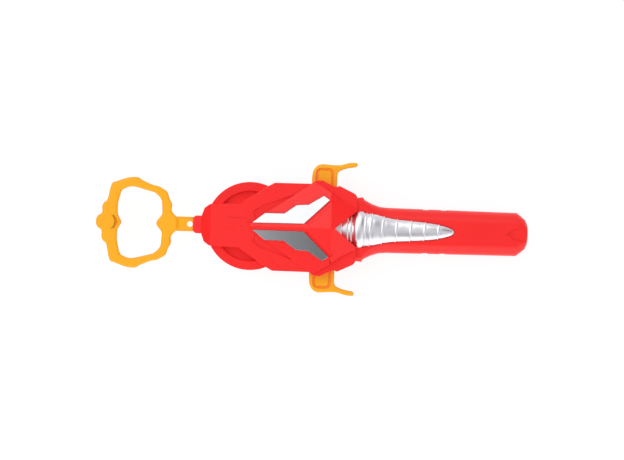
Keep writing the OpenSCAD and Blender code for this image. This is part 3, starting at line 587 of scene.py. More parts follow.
def moulded_abs(name, light, deep, roughness=0.36, grain_mm=0.9, dent=0.05, groove=None):
    """Injection-moulded ABS: even colour with faint flow shading, a soft gloss and a fine grain that
    breaks up the highlights. Faces marked as grooves get a deeper colour as painted shade."""
    if name in bpy.data.materials:
        return bpy.data.materials[name]
    material, tree, shader = new_material(name)
    place_on = add_node(tree, "ShaderNodeTexCoord").outputs["Object"]
    colour = mixed(tree, noise(tree, place_on, 45, 2.0), light, deep)
    # Painted shade: faces marked as grooves take the deeper groove colour
    if groove:
        groove_shade_mask = add_node(tree, "ShaderNodeAttribute", attribute_name="groove")
        colour = mixed(tree, groove_shade_mask.outputs["Fac"], colour, groove)
    smear, grain = noise(tree, place_on, 12, 4.0), noise(tree, place_on, grain_mm, 3.0)
    surface(tree, shader, colour, smear, (roughness - 0.06, roughness + 0.08), grain, dent, 0.2 * MM)
    shader.inputs["IOR"].default_value = 1.45
    return material


def metal(name, light, deep, roughness, streak_mm, stretch=(1, 1, 1), dent=0.02):
    """Bare or plated metal: smears in its gloss, and streaks where it is drawn or turned."""
    if name in bpy.data.materials:
        return bpy.data.materials[name]
    material, tree, shader = new_material(name)
    place_on = add_node(tree, "ShaderNodeTexCoord").outputs["Object"]
    stretched = add_node(tree, "ShaderNodeMapping", {"Vector": place_on, "Scale": stretch}).outputs[0]
    streaks = noise(tree, stretched, streak_mm, 3.0)
    colour = mixed(tree, streaks, linear(light), linear(deep))
    surface(tree, shader, colour, streaks, (roughness * 0.8, roughness * 1.3), streaks, dent, 0.1 * MM)
    shader.inputs["Metallic"].default_value = 1.0
    return material


def plated_abs():
    """Vacuum-plated ABS of the inlays: a bright mirror, softened by the lacquer over it."""
    return metal("plated ABS", "#DFE0E2", "#CFD0D4", 0.16, 6.0, dent=0.015)


def satin_plated_abs():
    """Vacuum-plated ABS of the drill, from a fine-textured tool: the surroundings blur to soft greys."""
    return metal("satin plated ABS", "#F4F3F6", "#E2E0E5", 0.3, 5.0)


def drawn_steel():
    """Drawn steel of pins, springs and screws."""
    return metal("drawn steel", "#B9BCC0", "#8C9096", 0.28, 0.8, (1, 1, 0.1), 0.04)


def turned_brass():
    """Turned brass of the bushes, with fine rings round their axis."""
    return metal("turned brass", "#D9B65C", "#B8913C", 0.25, 0.6, (1, 1, 0.2), 0.04)


def natural_acetal():
    """Natural acetal of the gears: off-white, waxy and nearly matt."""
    return moulded_abs("natural acetal", linear("#EFEDE6"), linear("#E4E1D8"), 0.45, 1.4, 0.04)


def chosen(name):
    """Linear RGBA of a colour from the panel."""
    return [*getattr(bpy.context.scene.launcher_colours, name), 1]


def red_abs():
    """Red ABS of the housing and its covers."""
    return moulded_abs("red ABS", chosen("red"), chosen("deep_red"))


def collar_abs():
    """Pinkish red ABS of the collar."""
    return moulded_abs("pinkish red ABS", chosen("collar"), chosen("red"))


def yellow_abs():
    """Yellow ABS of the ring, strip and levers, with painted shade in their grooves."""
    return moulded_abs("yellow ABS", chosen("yellow"), chosen("deep_yellow"), groove=chosen("groove_shade"))


def grower(name, sockets, build):
    """Geometry Nodes tree with named inputs after its geometry. A function that takes the tree and its
    inputs gives the new geometry, which is realized and takes the material."""
    if name in bpy.data.node_groups:
        return bpy.data.node_groups[name]
    tree = bpy.data.node_groups.new(name, "GeometryNodeTree")
    tree.interface.new_socket("Geometry", in_out="OUTPUT", socket_type="NodeSocketGeometry")
    for title, kind, default in [("Geometry", "Geometry", None), *sockets, ("Material", "Material", None)]:
        socket = tree.interface.new_socket(title, in_out="INPUT", socket_type="NodeSocket" + kind)
        if default is not None:
            socket.default_value = default
    entry = add_node(tree, "NodeGroupInput").outputs
    real = add_node(tree, "GeometryNodeRealizeInstances", {"Geometry": build(tree, entry)})
    links = {"Geometry": real.outputs[0], "Material": entry["Material"]}
    painted = add_node(tree, "GeometryNodeSetMaterial", links)
    add_node(tree, "NodeGroupOutput", {0: painted.outputs[0]})
    return tree


def wire_tree():
    """Round wire along the edges of the input mesh: the springs."""

    def build(tree, entry):
        path = add_node(tree, "GeometryNodeMeshToCurve", {"Mesh": entry["Geometry"]})
        links = {"Resolution": entry["Sides"], "Radius": entry["Wire radius"]}
        profile = add_node(tree, "GeometryNodeCurvePrimitiveCircle", links)
        links = {"Curve": path.outputs[0], "Profile Curve": profile.outputs[0], "Fill Caps": True}
        wire = add_node(tree, "GeometryNodeCurveToMesh", links)
        return add_node(tree, "GeometryNodeSetShadeSmooth", {"Geometry": wire.outputs[0]}).outputs[0]

    return grower("wire along a path", [("Wire radius", "Float", 0.3 * MM), ("Sides", "Int", 10)], build)


def spread(tree, template, points, **links):
    """The template on each of the points."""
    info = add_node(tree, "GeometryNodeObjectInfo", {"Object": template})
    links.update(Points=points, Instance=info.outputs["Geometry"])
    return add_node(tree, "GeometryNodeInstanceOnPoints", links).outputs[0]


def scatter_tree():
    """One template on each point of the input mesh: the screws."""

    def build(tree, entry):
        return spread(tree, entry["Template"], entry["Geometry"], Scale=entry["Scale"])

    return grower("template on points", [("Template", "Object", None), ("Scale", "Float", 1.0)], build)


def row_tree():
    """A template repeated along X behind the input mesh, which is kept: the teeth of the strip."""

    def build(tree, entry):
        step = add_node(tree, "ShaderNodeCombineXYZ", {"X": entry["Pitch"]})
        links = {"Count": entry["Count"], "Offset": step.outputs[0]}
        line = add_node(tree, "GeometryNodeMeshLine", links, mode="OFFSET")
        joined = add_node(tree, "GeometryNodeJoinGeometry")
        for part in (entry["Geometry"], spread(tree, entry["Template"], line.outputs[0])):
            tree.links.new(part, joined.inputs[0])
        return joined.outputs[0]

    pitch = ("Pitch", "Float", TOOTH_PITCH * MM)
    return grower("row of teeth", [("Template", "Object", None), ("Count", "Int", RACK_TEETH), pitch], build)


def grown(mesh, tree, values):
    """Plain mesh that a Geometry Nodes tree makes from a mesh and the values of its named inputs."""
    work = linked("work", mesh)
    modifier = work.modifiers.new("Nodes", "NODES")
    modifier.node_group = tree
    for item in tree.interface.items_tree:
        if item.item_type == "SOCKET" and item.in_out == "INPUT" and item.name in values:
            modifier[item.identifier] = values[item.name]
    return evaluated(work)


def path_mesh(points):
    """Mesh of edges along an open path in millimetres."""
    bm = bmesh.new()
    corners = corners_at(bm, points)
    for pair in zip(corners, corners[1:]):
        bm.edges.new(pair)
    return finished(bm)


def point_mesh(points):
    """Mesh of loose points in millimetres."""
    mesh = bpy.data.meshes.new("points")
    mesh.from_pydata([tuple(Vector(p) * MM) for p in points], [], [])
    return mesh


def extent(name, text, default, least=0.1):
    """Property for a length, whose default and least value are in millimetres."""
    return FloatProperty(name=name, description=text, default=default * MM, min=least * MM, unit="LENGTH")


def tint(name, text, hex_code):
    """Property for a colour."""
    default = linear(hex_code)[:3]
    return FloatVectorProperty(name=name, description=text, subtype="COLOR", default=default, min=0, max=1)


class LauncherSizes(bpy.types.PropertyGroup):
    """Sizes of the moulded details."""

    shell_edge: extent("Shell edge", "Rounding of the housing's edges", 0.35)
    cover_edge: extent("Cover edge", "Rounding of the cover plates' edges", 0.6)
    ring_edge: extent("Ring edge", "Rounding of the pull ring's edges", 1.65, 0.3)
    lever_edge: extent("Lever edge", "Rounding of the levers' edges", 0.9, 0.3)
    ridge: extent("Drill ridge", "Height of the drill's ridges", 0.45)
    drill_segments: IntProperty(
        name="Drill segments", description="Segments round the drill", default=144, min=32, max=256
    )


class LauncherColours(bpy.types.PropertyGroup):
    """Colours of the mouldings."""

    red: tint("Red", "Colour of the housing", "#FF201D")
    deep_red: tint("Deep red", "Shade in the red's flow", "#F91A18")
    collar: tint("Collar", "Colour of the collar", "#FF282F")
    yellow: tint("Yellow", "Colour of the ring and levers", "#FFB400")
    deep_yellow: tint("Deep yellow", "Shade in the yellow's flow", "#FCAA00")
    # Painted shade: a deeper orange for the faces marked as grooves, standing in for the shade that falls in
    # them
    groove_shade: tint("Orange", "Colour in the grooves", "#FF9400")


def at_nose_seam(middle):
    """On the front of the nose, where the wing plate and the housing go on into each other."""
    return middle.x < NOSE_BACK and abs(middle.z - SEAM_Z) < 0.05


def handle_section(point):
    """Way out from the middle of the handle's corner radius to a point in millimetres, and that radius."""
    middle = HANDLE_TOP / 2
    for (x0, w0, r0), (x1, w1, r1) in zip(HANDLE, HANDLE[1:]):
        if x0 <= point.x <= x1:
            t = (point.x - x0) / (x1 - x0)
            width, radius = w0 + (w1 - w0) * t, r0 + (r1 - r0) * t
            y, z = abs(point.y) - width + radius, abs(point.z - middle) - middle + radius
            y, z = math.copysign(max(y, 0), point.y), math.copysign(max(z, 0), point.z - middle)
            return Vector((0, y, z)), radius
    return Vector(), 1.0


def handle_normal(point):
    """Direction of the handle's round section at a point in millimetres, or None off its surface."""
    out, radius = handle_section(point)
    return out.normalized() if abs(out.length - radius) < SKIN_SLACK else None


def engraved(outlines, top, depth):
    """Mend that cuts shallow grooves with the given outlines into a face at a height in millimetres."""

    def cut(bm):
        mesh = bpy.data.meshes.new("plain")
        bm.to_mesh(mesh)
        cutters = [plate_mesh([outline], top - depth, top + 1, 0.05, 1) for outline in outlines]
        bm.clear()
        bm.from_mesh(combined(mesh, cutters, "DIFFERENCE"))

    return cut


def flush_bosses(bm):
    """Takes the screw bosses back to the handle's skin where they would come through it."""
    for vertex in bm.verts:
        out, radius = handle_section(vertex.co / MM)
        if vertex.co.x > BOSS_X * MM and out.length > radius:
            vertex.co -= out * (1 - radius / out.length) * MM


def smooth_handle(mesh):
    """Gives the handle's skin the normals of its round section, so that long thin faces don't show."""
    normals = [Vector(corner.vector) for corner in mesh.corner_normals]
    for face in mesh.polygons:
        for corner in face.loop_indices:
            point = mesh.vertices[mesh.loops[corner].vertex_index].co / MM
            wanted = handle_normal(point)
            if wanted and wanted.angle(face.normal, 3) < math.radians(20):
                normals[corner] = wanted
    mesh.normals_split_custom_set(normals)
    return mesh


class LAUNCHER_OT_housing(bpy.types.Operator):
    """Two shells of the housing, with rounded edges"""

    bl_idname = "launcher.housing"
    bl_label = "Housing"

    def execute(self, context):
        edge = context.scene.launcher_sizes.shell_edge
        for name, node in (("housing_top", "upper_shell"), ("housing_bottom", "lower_shell")):
            mesh = smooth_handle(dressed_mesh(node, edge, seam=at_nose_seam, mend=flush_bosses))
            piece(name, mesh, red_abs(), "housing", [node])
        return {"FINISHED"}


class LAUNCHER_OT_covers(bpy.types.Operator):
    """Wing plate and roof-shaped shield on top of the housing"""

    bl_idname = "launcher.covers"
    bl_label = "Cover plates"

    def execute(self, context):
        edge = context.scene.launcher_sizes.cover_edge
        lines = engraved(BRIDGE_LINES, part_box("shield")[0].z / MM, 0.2)
        for name, node, mend in (("wing_cover", "wing_plate", lines), ("shield_cover", "shield", None)):
            mesh = dressed_mesh(node, edge, 6, seam=at_nose_seam, mend=mend)
            piece(name, mesh, red_abs(), "housing", [node])
        return {"FINISHED"}


def bowed(mesh):
    """Bows the look of an inlay's face a little along X, as thin mouldings are when they cool."""
    normals = []
    for face in mesh.polygons:
        for corner in face.loop_indices:
            x = mesh.vertices[mesh.loops[corner].vertex_index].co.x / MM
            tilt = INLAY_BOW * (x - INLAY_MIDDLE) / INLAY_HALF if face.normal.z > 0.9 else 0
            normals.append(Matrix.Rotation(tilt, 3, "Y") @ Vector(mesh.corner_normals[corner].vector))
    mesh.normals_split_custom_set(normals)
    return mesh


class LAUNCHER_OT_inlays(bpy.types.Operator):
    """Two plated inlays on the slopes of the shield"""

    bl_idname = "launcher.inlays"
    bl_label = "Inlays"

    def execute(self, context):
        for name, node in (("inlay_upper", "inlay_left"), ("inlay_lower", "inlay_right")):
            mesh = bowed(dressed_mesh(node, 0.1 * MM, 20))
            piece(name, mesh, plated_abs(), "housing", [node])
        return {"FINISHED"}


def drill_matrix():
    """Places a body of revolution round Z on the drill's axis, and flattens it over its seat."""
    turn = Matrix.Rotation(math.radians(90 - DRILL_TILT), 4, "Y")
    flat = Matrix.Diagonal((1, 1, DRILL_FLAT, 1))
    seat = Matrix.Translation((0, 0, (DRILL_LOW.z + DRILL_WALL) * MM))
    return seat @ flat @ Matrix.Translation(DRILL_ORIGIN * MM) @ turn


def drill_radius(distance):
    """Radius of the drill at a distance from its disc."""
    for (d0, r0), (d1, r1) in zip(DRILL_PROFILE, DRILL_PROFILE[1:]):
        if d0 <= distance <= d1:
            return r0 + (r1 - r0) * (distance - d0) / max(d1 - d0, 1e-6)
    return 0.0


def ridged_profile(height):
    """Drill's profile as radius and height pairs, with its ridges."""
    first, last = RIDGE_SHAPE[0][0] * height, RIDGE_SHAPE[-1][0] * height
    points = [(d, r) for d, r in DRILL_PROFILE if not any(first < d - c < last for c in DRILL_RIDGES)]
    for crest in DRILL_RIDGES:
        for step, rise in RIDGE_SHAPE:
            distance = crest + step * height
            points.append((distance, drill_radius(distance) + rise * height))
    return [(r, d) for d, r in sorted(points)]


class LAUNCHER_OT_drill(bpy.types.Operator):
    """Plated half-relief drill with raised ridges that lean a little to one side"""

    bl_idname = "launcher.drill"
    bl_label = "Drill"

    def execute(self, context):
        sizes = context.scene.launcher_sizes
        profile = [(0.0, DRILL_PROFILE[0][0])] + ridged_profile(sizes.ridge / MM)
        mesh = lathe_mesh(profile, sizes.drill_segments)
        for vertex in mesh.vertices:
            lean = min(max(vertex.co.z / MM / LEAN_RUN, 0), 1)
            vertex.co.z += lean * DRILL_SHEAR * vertex.co.y
        bm = bmesh.new()
        bm.from_mesh(place(mesh, drill_matrix()))
        seat = Vector((0, 0, (DRILL_LOW.z + DRILL_WALL) * MM))
        parts = bm.verts[:] + bm.edges[:] + bm.faces[:]
        cut = bmesh.ops.bisect_plane(bm, geom=parts, plane_co=seat, plane_no=(0, 0, 1), clear_inner=True)
        rim = [e for e in cut["geom_cut"] if isinstance(e, bmesh.types.BMEdge)]
        wall = bmesh.ops.extrude_edge_only(bm, edges=rim)["geom"]
        for vertex in (v for v in wall if isinstance(v, bmesh.types.BMVert)):
            vertex.co.z = DRILL_LOW.z * MM
        bmesh.ops.edgenet_fill(bm, edges=[e for e in wall if isinstance(e, bmesh.types.BMEdge)])
        bmesh.ops.recalc_face_normals(bm, faces=bm.faces)
        body = shade(finished(bm), 50)
        piece("drill", body, satin_plated_abs(), "housing", ["drill_insert"])
        return {"FINISHED"}


class LAUNCHER_OT_collar(bpy.types.Operator):
    """Throat in front of the nose"""

    bl_idname = "launcher.collar"
    bl_label = "Collar"

    def execute(self, context):
        throat = engraved([COLLAR_NOTCH], span("strip_collar")[1].z, 0.9)
        mesh = dressed_mesh("strip_collar", 0.4 * MM, mend=throat)
        piece("collar", mesh, collar_abs(), "housing", ["strip_collar"])
        return {"FINISHED"}


def ramp_mesh(high, tab_top, low, tab_bottom):
    """Saddle that leads the ring's two faces over into the thinner tab."""
    bm = bmesh.new()
    rings = []
    for k in range(RAMP_STEPS + 1):
        t = k / RAMP_STEPS
        x = RAMP_START + RAMP_LENGTH * t
        ease = (1 + math.cos(math.pi * max((t - RAMP_LEVEL) / (1 - RAMP_LEVEL), 0))) / 2
        top, bottom = tab_top + (high - tab_top) * ease, tab_bottom + (low - tab_bottom) * ease
        section = rounded_box(-RAMP_HALF, bottom, RAMP_HALF, top, 0.6, 3)
        rings.append(corners_at(bm, [(x, y, z) for y, z in section]))
    bridge(bm, rings)
    bm.faces.new(reversed(rings[0]))
    bm.faces.new(rings[-1])
    bmesh.ops.recalc_face_normals(bm, faces=bm.faces)
    return finished(bm)


def crescent():
    """Clockwise outline of the groove beside the ring's boss."""
    arc = [math.radians(-42 + 7 * k) for k in range(13)]
    inner = [polar(BOSS_AT, CRESCENT_R, a) for a in arc]
    outer = [(x + 0.95 * math.cos(a * 2.1), y) for (x, y), a in zip(inner, arc)]
    return outer[::-1] + inner


class LAUNCHER_OT_ring(bpy.types.Operator):
    """Pull ring with its tab"""

    bl_idname = "launcher.ring"
    bl_label = "Pull ring"

    def execute(self, context):
        edge = context.scene.launcher_sizes.ring_edge / MM
        low, top, middle = RING_LOW.z, RING_HIGH.z, STRIP_MID
        outer = smooth_outline(whole(RING_OUTER), 3)
        hole = smooth_outline(whole(RING_INNER), 3)[::-1]
        ring = plate_mesh([outer, hole], low, top, edge, 5)
        boss = plate_mesh([circle(BOSS_AT, 5.5, 48)], low - 0.05, top + 0.05, 1.2, 4)
        tab = plate_mesh([rounded_box(-50, -4.5, -31, 4.5, 0.3, 2)], middle - 2, middle + 2, 0.4, 3)
        ramp = ramp_mesh(top - 0.45, middle + 1.9, low + 0.45, middle - 1.9)
        lip = plate_mesh([circle(TAB_HOLE, 2.6, 40)], middle, middle + 2.15, 0.15, 2)
        mesh = combined(ring, [boss, tab, ramp, lip], "UNION")
        cutters = [
            plate_mesh([circle(TAB_HOLE, 1.8, 32)], middle - 4, middle + 4, 0.1, 1),
            plate_mesh([crescent()], top - 0.6, top + 1, 0.05, 1),
        ]
        for y0, y1 in ((3.3, 3.75), (-3.75, -3.3)):
            cutters.append(plate_mesh([rounded_box(-40.5, y0, -32, y1, 0.2, 2)], middle + 1.85, top, 0.05, 1))
        mesh = combined(mesh, cutters, "DIFFERENCE")

        def in_crescent(c):
            near = (c.xy - Vector(BOSS_AT)).length < CRESCENT_R + 1.2
            return near and c.x > -84.6 and top - 0.7 < c.z < top - 0.1

        # Painted shade in the crescent groove beside the boss
        mark_groove_shade(mesh, in_crescent)
        piece("ring", plane_normals(mesh, 34), yellow_abs(), "pull_strip", ["pull_ring"])
        return {"FINISHED"}


class LAUNCHER_OT_strip(bpy.types.Operator):
    """Toothed strip behind the ring"""

    bl_idname = "launcher.strip"
    bl_label = "Toothed strip"

    def execute(self, context):
        low, high = STRIP_LOW, STRIP_HIGH
        root, crest, start = RACK_LINE - DEDENDUM, RACK_LINE + ADDENDUM, RACK_START - TOOTH_PITCH
        bar = [(low.x + 3, -BAR_HALF), (high.x, -BAR_HALF), (high.x, root)]
        bar += [(start, root), (start - 1, BAR_HALF), (low.x + 3, BAR_HALF)]
        body = plate_mesh([bar], low.z, high.z, 0.25, 2)
        slope = math.tan(PRESSURE_ANGLE)
        half = (TOOTH_PITCH / 2 - BACKLASH) / 2
        foot, tip = half + (DEDENDUM + SUNK) * slope, half - ADDENDUM * slope
        tooth = [(foot, root - SUNK), (tip, crest), (-tip, crest), (-foot, root - SUNK)]
        tooth = [(x + RACK_START, y) for x, y in tooth]
        template = linked("template", plate_mesh([tooth], low.z + 0.02, high.z - 0.02, 0.12, 1))
        yellow = yellow_abs()
        values = {"Template": template, "Count": RACK_TEETH, "Pitch": TOOTH_PITCH * MM, "Material": yellow}
        rack = shade(grown(body, row_tree(), values), 34)
        bpy.data.objects.remove(template)
        piece("toothed_rack", rack, yellow, "pull_strip", ["toothed_strip"])
        return {"FINISHED"}


def lever_mesh():
    """Release lever on the side with Y above zero."""
    top = LEVER_HIGH.z
    arm_low, arm_top = top - 3.6, top - 0.2
    edge = bpy.context.scene.launcher_sizes.lever_edge / MM
    pad = plate_mesh([eased(PAD_OUTLINE, 2.4)], top - PAD_HEIGHT, top, edge, 3)
    groove = [rounded_box(39.8, 10.0, 51.2, 37.4, 3.6), rounded_box(41.6, 8.0, 49.4, 35.6, 1.8)[::-1]]
    cutter = plate_mesh(groove, top - 0.8, top + 2, 0.2, 2)
    pad = combined(pad, [cutter], "DIFFERENCE")
    hub = plate_mesh([circle(PIVOT, 4.2, 48)], arm_low, arm_top, 0.2, 2)
    arm = plate_mesh([ARM_OUTLINE], arm_low, arm_top, 0.2, 2)
    claw_at = Vector(polar((0, 0), CLAW_R, CLAW_ANGLE))
    reach = Vector(PIVOT) - claw_at
    bar = plate_mesh([rounded_box(-2.2, -2.2, reach.length, 2.2, 2.1)], arm_low, arm_top, 0.2, 2)
    heading = Matrix.Rotation(math.atan2(reach.y, reach.x), 4, "Z")
    place(bar, Matrix.Translation(claw_at.to_3d() * MM) @ heading)
    claw = box_mesh(CLAW_R - 0.9, CLAW_R + 0.9, -CLAW_HALF, CLAW_HALF, LEVER_LOW.z, arm_low + 0.1)
    lip = box_mesh(CLAW_R - 2.2, CLAW_R, -CLAW_HALF, CLAW_HALF, LEVER_LOW.z, LEVER_LOW.z + 1.6)
    for part in (claw, lip):
        place(part, Matrix.Rotation(CLAW_ANGLE, 4, "Z"))
    mesh = combined(pad, [arm, hub, bar, claw, lip], "UNION")
    bore = plate_mesh([circle(PIVOT, 1.55, 32)], 0, 40, 0.1, 1)
    mesh = shade(combined(mesh, [bore], "DIFFERENCE"), 34)
    # Painted shade in the groove round the thumb pad
    return mark_groove_shade(mesh, lambda c: 39.7 < c.x < 51.3 and c.y < 37.6 and top - 1 < c.z < top - 0.1)


class LAUNCHER_OT_levers(bpy.types.Operator):
    """Two release levers with thumb pads and curved tails"""

    bl_idname = "launcher.levers"
    bl_label = "Levers"

    def execute(self, context):
        mesh = lever_mesh()
        other = place(mesh.copy(), Matrix.Diagonal((1, -1, 1, 1)))
        piece("release_lever_upper", mesh, yellow_abs(), "left_lever", ["lever_left"])
        piece("release_lever_lower", other, yellow_abs(), "right_lever", ["lever_right"])
        return {"FINISHED"}


def spring_path(low, high, wire):
    """Helix along Y between the ends of a spring's box, with closed end coils."""
    turns, steps, closed = 6, 28, 0.8
    radius = (high.z - low.z) / 2 - wire
    centre_x, centre_z = (low.x + high.x) / 2, (low.z + high.z) / 2
    rise = (high.y - low.y - 6 * wire) / (turns - 2 * closed)
    points = []
    for k in range(turns * steps + 1):
        t = k / steps
        if t < closed:
            y = 2 * wire * t / closed
        else:
            y = 2 * wire + rise * (min(t, turns - closed) - closed)
            y += 2 * wire * max(t - turns + closed, 0) / closed
        a = 2 * math.pi * t
        points.append((centre_x + radius * math.cos(a), low.y + wire + y, centre_z + radius * math.sin(a)))
    return points


class LAUNCHER_OT_springs(bpy.types.Operator):
    """Compression springs of the levers"""

    bl_idname = "launcher.springs"
    bl_label = "Springs"

    def execute(self, context):
        springs = [
            ("return_spring_upper", "lever_spring_left", "lever_left_squeeze"),
            ("return_spring_lower", "lever_spring_right", "lever_right_squeeze"),
        ]
        for name, node, joint in springs:
            low, high = span(node)
            values = {"Wire radius": SPRING_WIRE * MM, "Sides": 10, "Material": drawn_steel()}
            mesh = grown(path_mesh(spring_path(low, high, SPRING_WIRE)), wire_tree(), values)
            spring = piece(name, mesh, drawn_steel(), "housing", [node])
            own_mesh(spring)
        return {"FINISHED"}


def screw_template(length):
    """Pan-head screw with a cross recess, its head below z = 0 and its shank above."""
    shank = [(1.25, length - 0.8), (0.4, length), (0, length)]
    mesh = lathe_mesh(SCREW_HEAD + shank, 32)
    slots = [box_mesh(-a, a, -b, b, -2, -0.65) for a, b in ((1.1, 0.28), (0.28, 1.1))]
    return shade(combined(mesh, slots, "DIFFERENCE"), 40)


class LAUNCHER_OT_screws(bpy.types.Operator):
    """Screws of the housing, the gear plate and the covers"""

    bl_idname = "launcher.screws"
    bl_label = "Screws"

    def execute(self, context):
        head_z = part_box("housing_screws")[0].z / MM - SCREW_HEAD[0][1]
        groups = [
            ("shell_screws", "housing_screws", SHELL_SCREWS, head_z, 14.5),
            ("cup_screws", None, CUP_SCREWS, 8.6, 9.6),
            ("roof_screws", "cover_screws", ROOF_SCREWS, 23.5, 5.8),
        ]
        for name, node, places, height, length in groups:
            points = [(x, side * y, height) for x, y in places for side in (1, -1)]
            template = linked("template", screw_template(length))
            values = {"Template": template, "Scale": 1.0, "Material": drawn_steel()}
            mesh = grown(point_mesh(points), scatter_tree(), values)
            bpy.data.objects.remove(template)
            piece(name, mesh, drawn_steel(), "housing", [node] if node else ())
        carried(["gear_plate_screws", "chuck_screw"], drawn_steel())
        return {"FINISHED"}


class LAUNCHER_OT_drive(bpy.types.Operator):
    """Finishes of the gears, shafts, bushes and the chuck"""

    bl_idname = "launcher.drive"
    bl_label = "Drive"

    def execute(self, context):
        carried(["idler_gear", "spindle_gear", "gear_plate"], natural_acetal())
        carried(["spindle", "idler_axle", "lever_pin_left", "lever_pin_right"], drawn_steel())
        carried(["lower_bush", "upper_bush"], turned_brass())
        chuck = dressed_mesh("chuck", 0.2 * MM)
        piece("drive_chuck", chuck, natural_acetal(), "drive", ["chuck"])
        return {"FINISHED"}


# Object turned clockwise in the photograph, the point at the photograph's centre, and what it spans
PHOTO_TURN = math.radians(1.85)
PHOTO_CENTRE = Vector((0.0385, -0.00124, 0.016))
PHOTO_WIDTH = 0.3869
CAMERA_HEIGHT = 3.0
SENSOR_WIDTH = 36.0
# Cards in the tent: direction, cosines of the angles where one begins and is full, and its strength
CARDS = [
    ((-0.10, -0.387, 0.917), 0.945, 1.0, 0.27),
    ((-0.92, 0.0, 0.38), 0.8, 0.95, 0.15),
    ((0.38, 0.40, 0.84), 0.95, 0.985, 0.12),
    ((-0.16, 0.387, 0.90), 0.972, 0.995, 0.15),
    ((0.45, -0.42, 0.79), 0.95, 0.985, 1.4),
]


def studio():
    """White tent, brighter towards the floor, with dark flags and one bright card in it."""
    world = bpy.data.worlds.new("studio")
    world.use_nodes = True
    tree = world.node_tree
    tree.nodes.clear()
    heading = add_node(tree, "ShaderNodeTexCoord").outputs["Generated"]
    height = add_node(tree, "ShaderNodeSeparateXYZ", {0: heading}).outputs["Z"]
    level = add_node(tree, "ShaderNodeMapRange", {"Value": height, "To Min": 0.85, "To Max": 0.7})
    for direction, outer, inner, strength in CARDS:
        toward = Vector(direction).normalized()
        near = add_node(tree, "ShaderNodeVectorMath", {0: heading, 1: toward}, operation="DOT_PRODUCT")
        links = {"Value": near.outputs["Value"], "From Min": outer, "From Max": inner, "To Max": strength}
        card = add_node(tree, "ShaderNodeMapRange", {**links, "To Min": 1.0}).outputs[0]
        level = add_node(tree, "ShaderNodeMath", {0: level.outputs[0], 1: card}, operation="MULTIPLY")
    back = add_node(tree, "ShaderNodeBackground", {"Color": (0.97, 0.97, 1, 1), "Strength": level.outputs[0]})
    add_node(tree, "ShaderNodeOutputWorld", {"Surface": back.outputs[0]})
    return world


def softbox(name, position, size, power):
    """Rectangular lamp aimed at the object."""
    data = bpy.data.lights.new(name, "AREA")
    data.shape = "RECTANGLE"
    data.size, data.size_y = size
    data.energy = power
    lamp = linked(name, data)
    lamp.location = position
    lamp.rotation_euler = (PHOTO_CENTRE - Vector(position)).to_track_quat("-Z", "Y").to_euler()


def white_paper():
    """White paper sweep: plain diffuse to the lamps, and near white to the eye, with the shadow kept."""
    material, tree, shader = new_material("white paper")
    shader.inputs["Roughness"].default_value = 0.9
    rays = add_node(tree, "ShaderNodeLightPath").outputs
    seen = rays["Is Camera Ray"]
    for kind in ("Is Glossy Ray", "Is Transmission Ray"):
        seen = add_node(tree, "ShaderNodeMath", {0: seen, 1: rays[kind]}, operation="MAXIMUM").outputs[0]
    paper = mixed(tree, seen, linear("#F4F4F4"), linear("#787878"))
    tree.links.new(paper, shader.inputs["Base Color"])
    glow = add_node(tree, "ShaderNodeEmission", {"Color": (1, 1, 1, 1), "Strength": 0.86})
    both = add_node(tree, "ShaderNodeAddShader", {0: shader.outputs[0], 1: glow.outputs[0]})
    links = {0: seen, 1: shader.outputs[0], 2: both.outputs[0]}
    output = next(n for n in tree.nodes if n.type == "OUTPUT_MATERIAL")
    tree.links.new(add_node(tree, "ShaderNodeMixShader", links).outputs[0], output.inputs["Surface"])
    return material


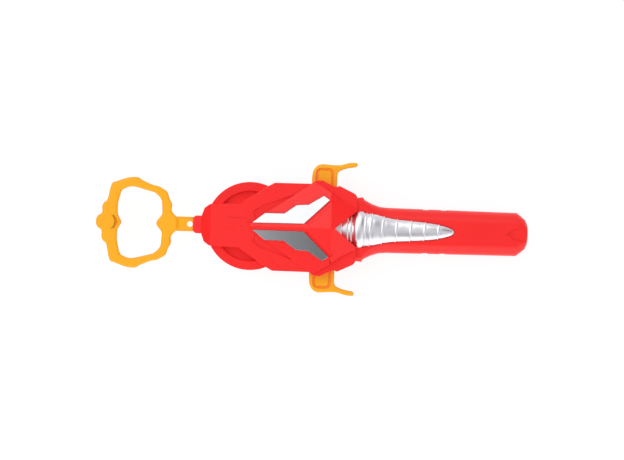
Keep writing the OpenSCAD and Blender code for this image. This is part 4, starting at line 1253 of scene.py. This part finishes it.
class LAUNCHER_OT_stage(bpy.types.Operator):
    """White floor, soft lamps, world and the camera above the object"""

    bl_idname = "launcher.stage"
    bl_label = "Stage"

    def execute(self, context):
        scene = context.scene
        camera = linked("camera", bpy.data.cameras.new("camera"))
        camera.data.sensor_width = SENSOR_WIDTH
        camera.data.lens = SENSOR_WIDTH * CAMERA_HEIGHT / PHOTO_WIDTH
        camera.data.clip_end = 20.0
        camera.location = PHOTO_CENTRE + Vector((0, 0, CAMERA_HEIGHT))
        camera.rotation_euler = (0, 0, PHOTO_TURN)
        scene.camera = camera

        floor = linked("floor", bpy.data.meshes.new("floor"))
        floor.data.from_pydata([(-6, -6, 0), (6, -6, 0), (6, 6, 0), (-6, 6, 0)], [], [(0, 1, 2, 3)])
        floor.location.z = -0.2 * MM
        floor.data.materials.append(white_paper())

        scene.world = studio()
        softbox("key", (-0.9, 0.85, 1.5), (2.5, 2.0), 20)
        softbox("fill", (0.1, -1.5, 0.8), (3.0, 1.6), 12)
        scene.view_settings.view_transform = "Standard"
        return {"FINISHED"}


STEPS = (
    LAUNCHER_OT_housing,
    LAUNCHER_OT_covers,
    LAUNCHER_OT_inlays,
    LAUNCHER_OT_drill,
    LAUNCHER_OT_collar,
    LAUNCHER_OT_ring,
    LAUNCHER_OT_strip,
    LAUNCHER_OT_levers,
    LAUNCHER_OT_springs,
    LAUNCHER_OT_screws,
    LAUNCHER_OT_drive,
    LAUNCHER_OT_stage,
)


class LAUNCHER_PT_panel(bpy.types.Panel):
    """Lists the pieces in the sidebar"""

    bl_label = "Launcher"
    bl_idname = "LAUNCHER_PT_panel"
    bl_space_type = "VIEW_3D"
    bl_region_type = "UI"
    bl_category = "Launcher"

    def draw(self, context):
        for group in (context.scene.launcher_sizes, context.scene.launcher_colours):
            for name in group.__annotations__:
                self.layout.prop(group, name)
        for step in STEPS:
            self.layout.operator(step.bl_idname)


CLASSES = (LauncherSizes, LauncherColours, *STEPS, LAUNCHER_PT_panel)


def register():
    for cls in CLASSES:
        bpy.utils.register_class(cls)
    bpy.types.Scene.launcher_sizes = PointerProperty(type=LauncherSizes)
    bpy.types.Scene.launcher_colours = PointerProperty(type=LauncherColours)


def unregister():
    del bpy.types.Scene.launcher_colours
    del bpy.types.Scene.launcher_sizes
    for cls in reversed(CLASSES):
        bpy.utils.unregister_class(cls)


def main():
    """Builds every piece."""
    register()
    for step in STEPS:
        group, name = step.bl_idname.split(".")
        getattr(getattr(bpy.ops, group), name)()
    bpy.context.view_layer.update()


if __name__ == "__main__":
    main()
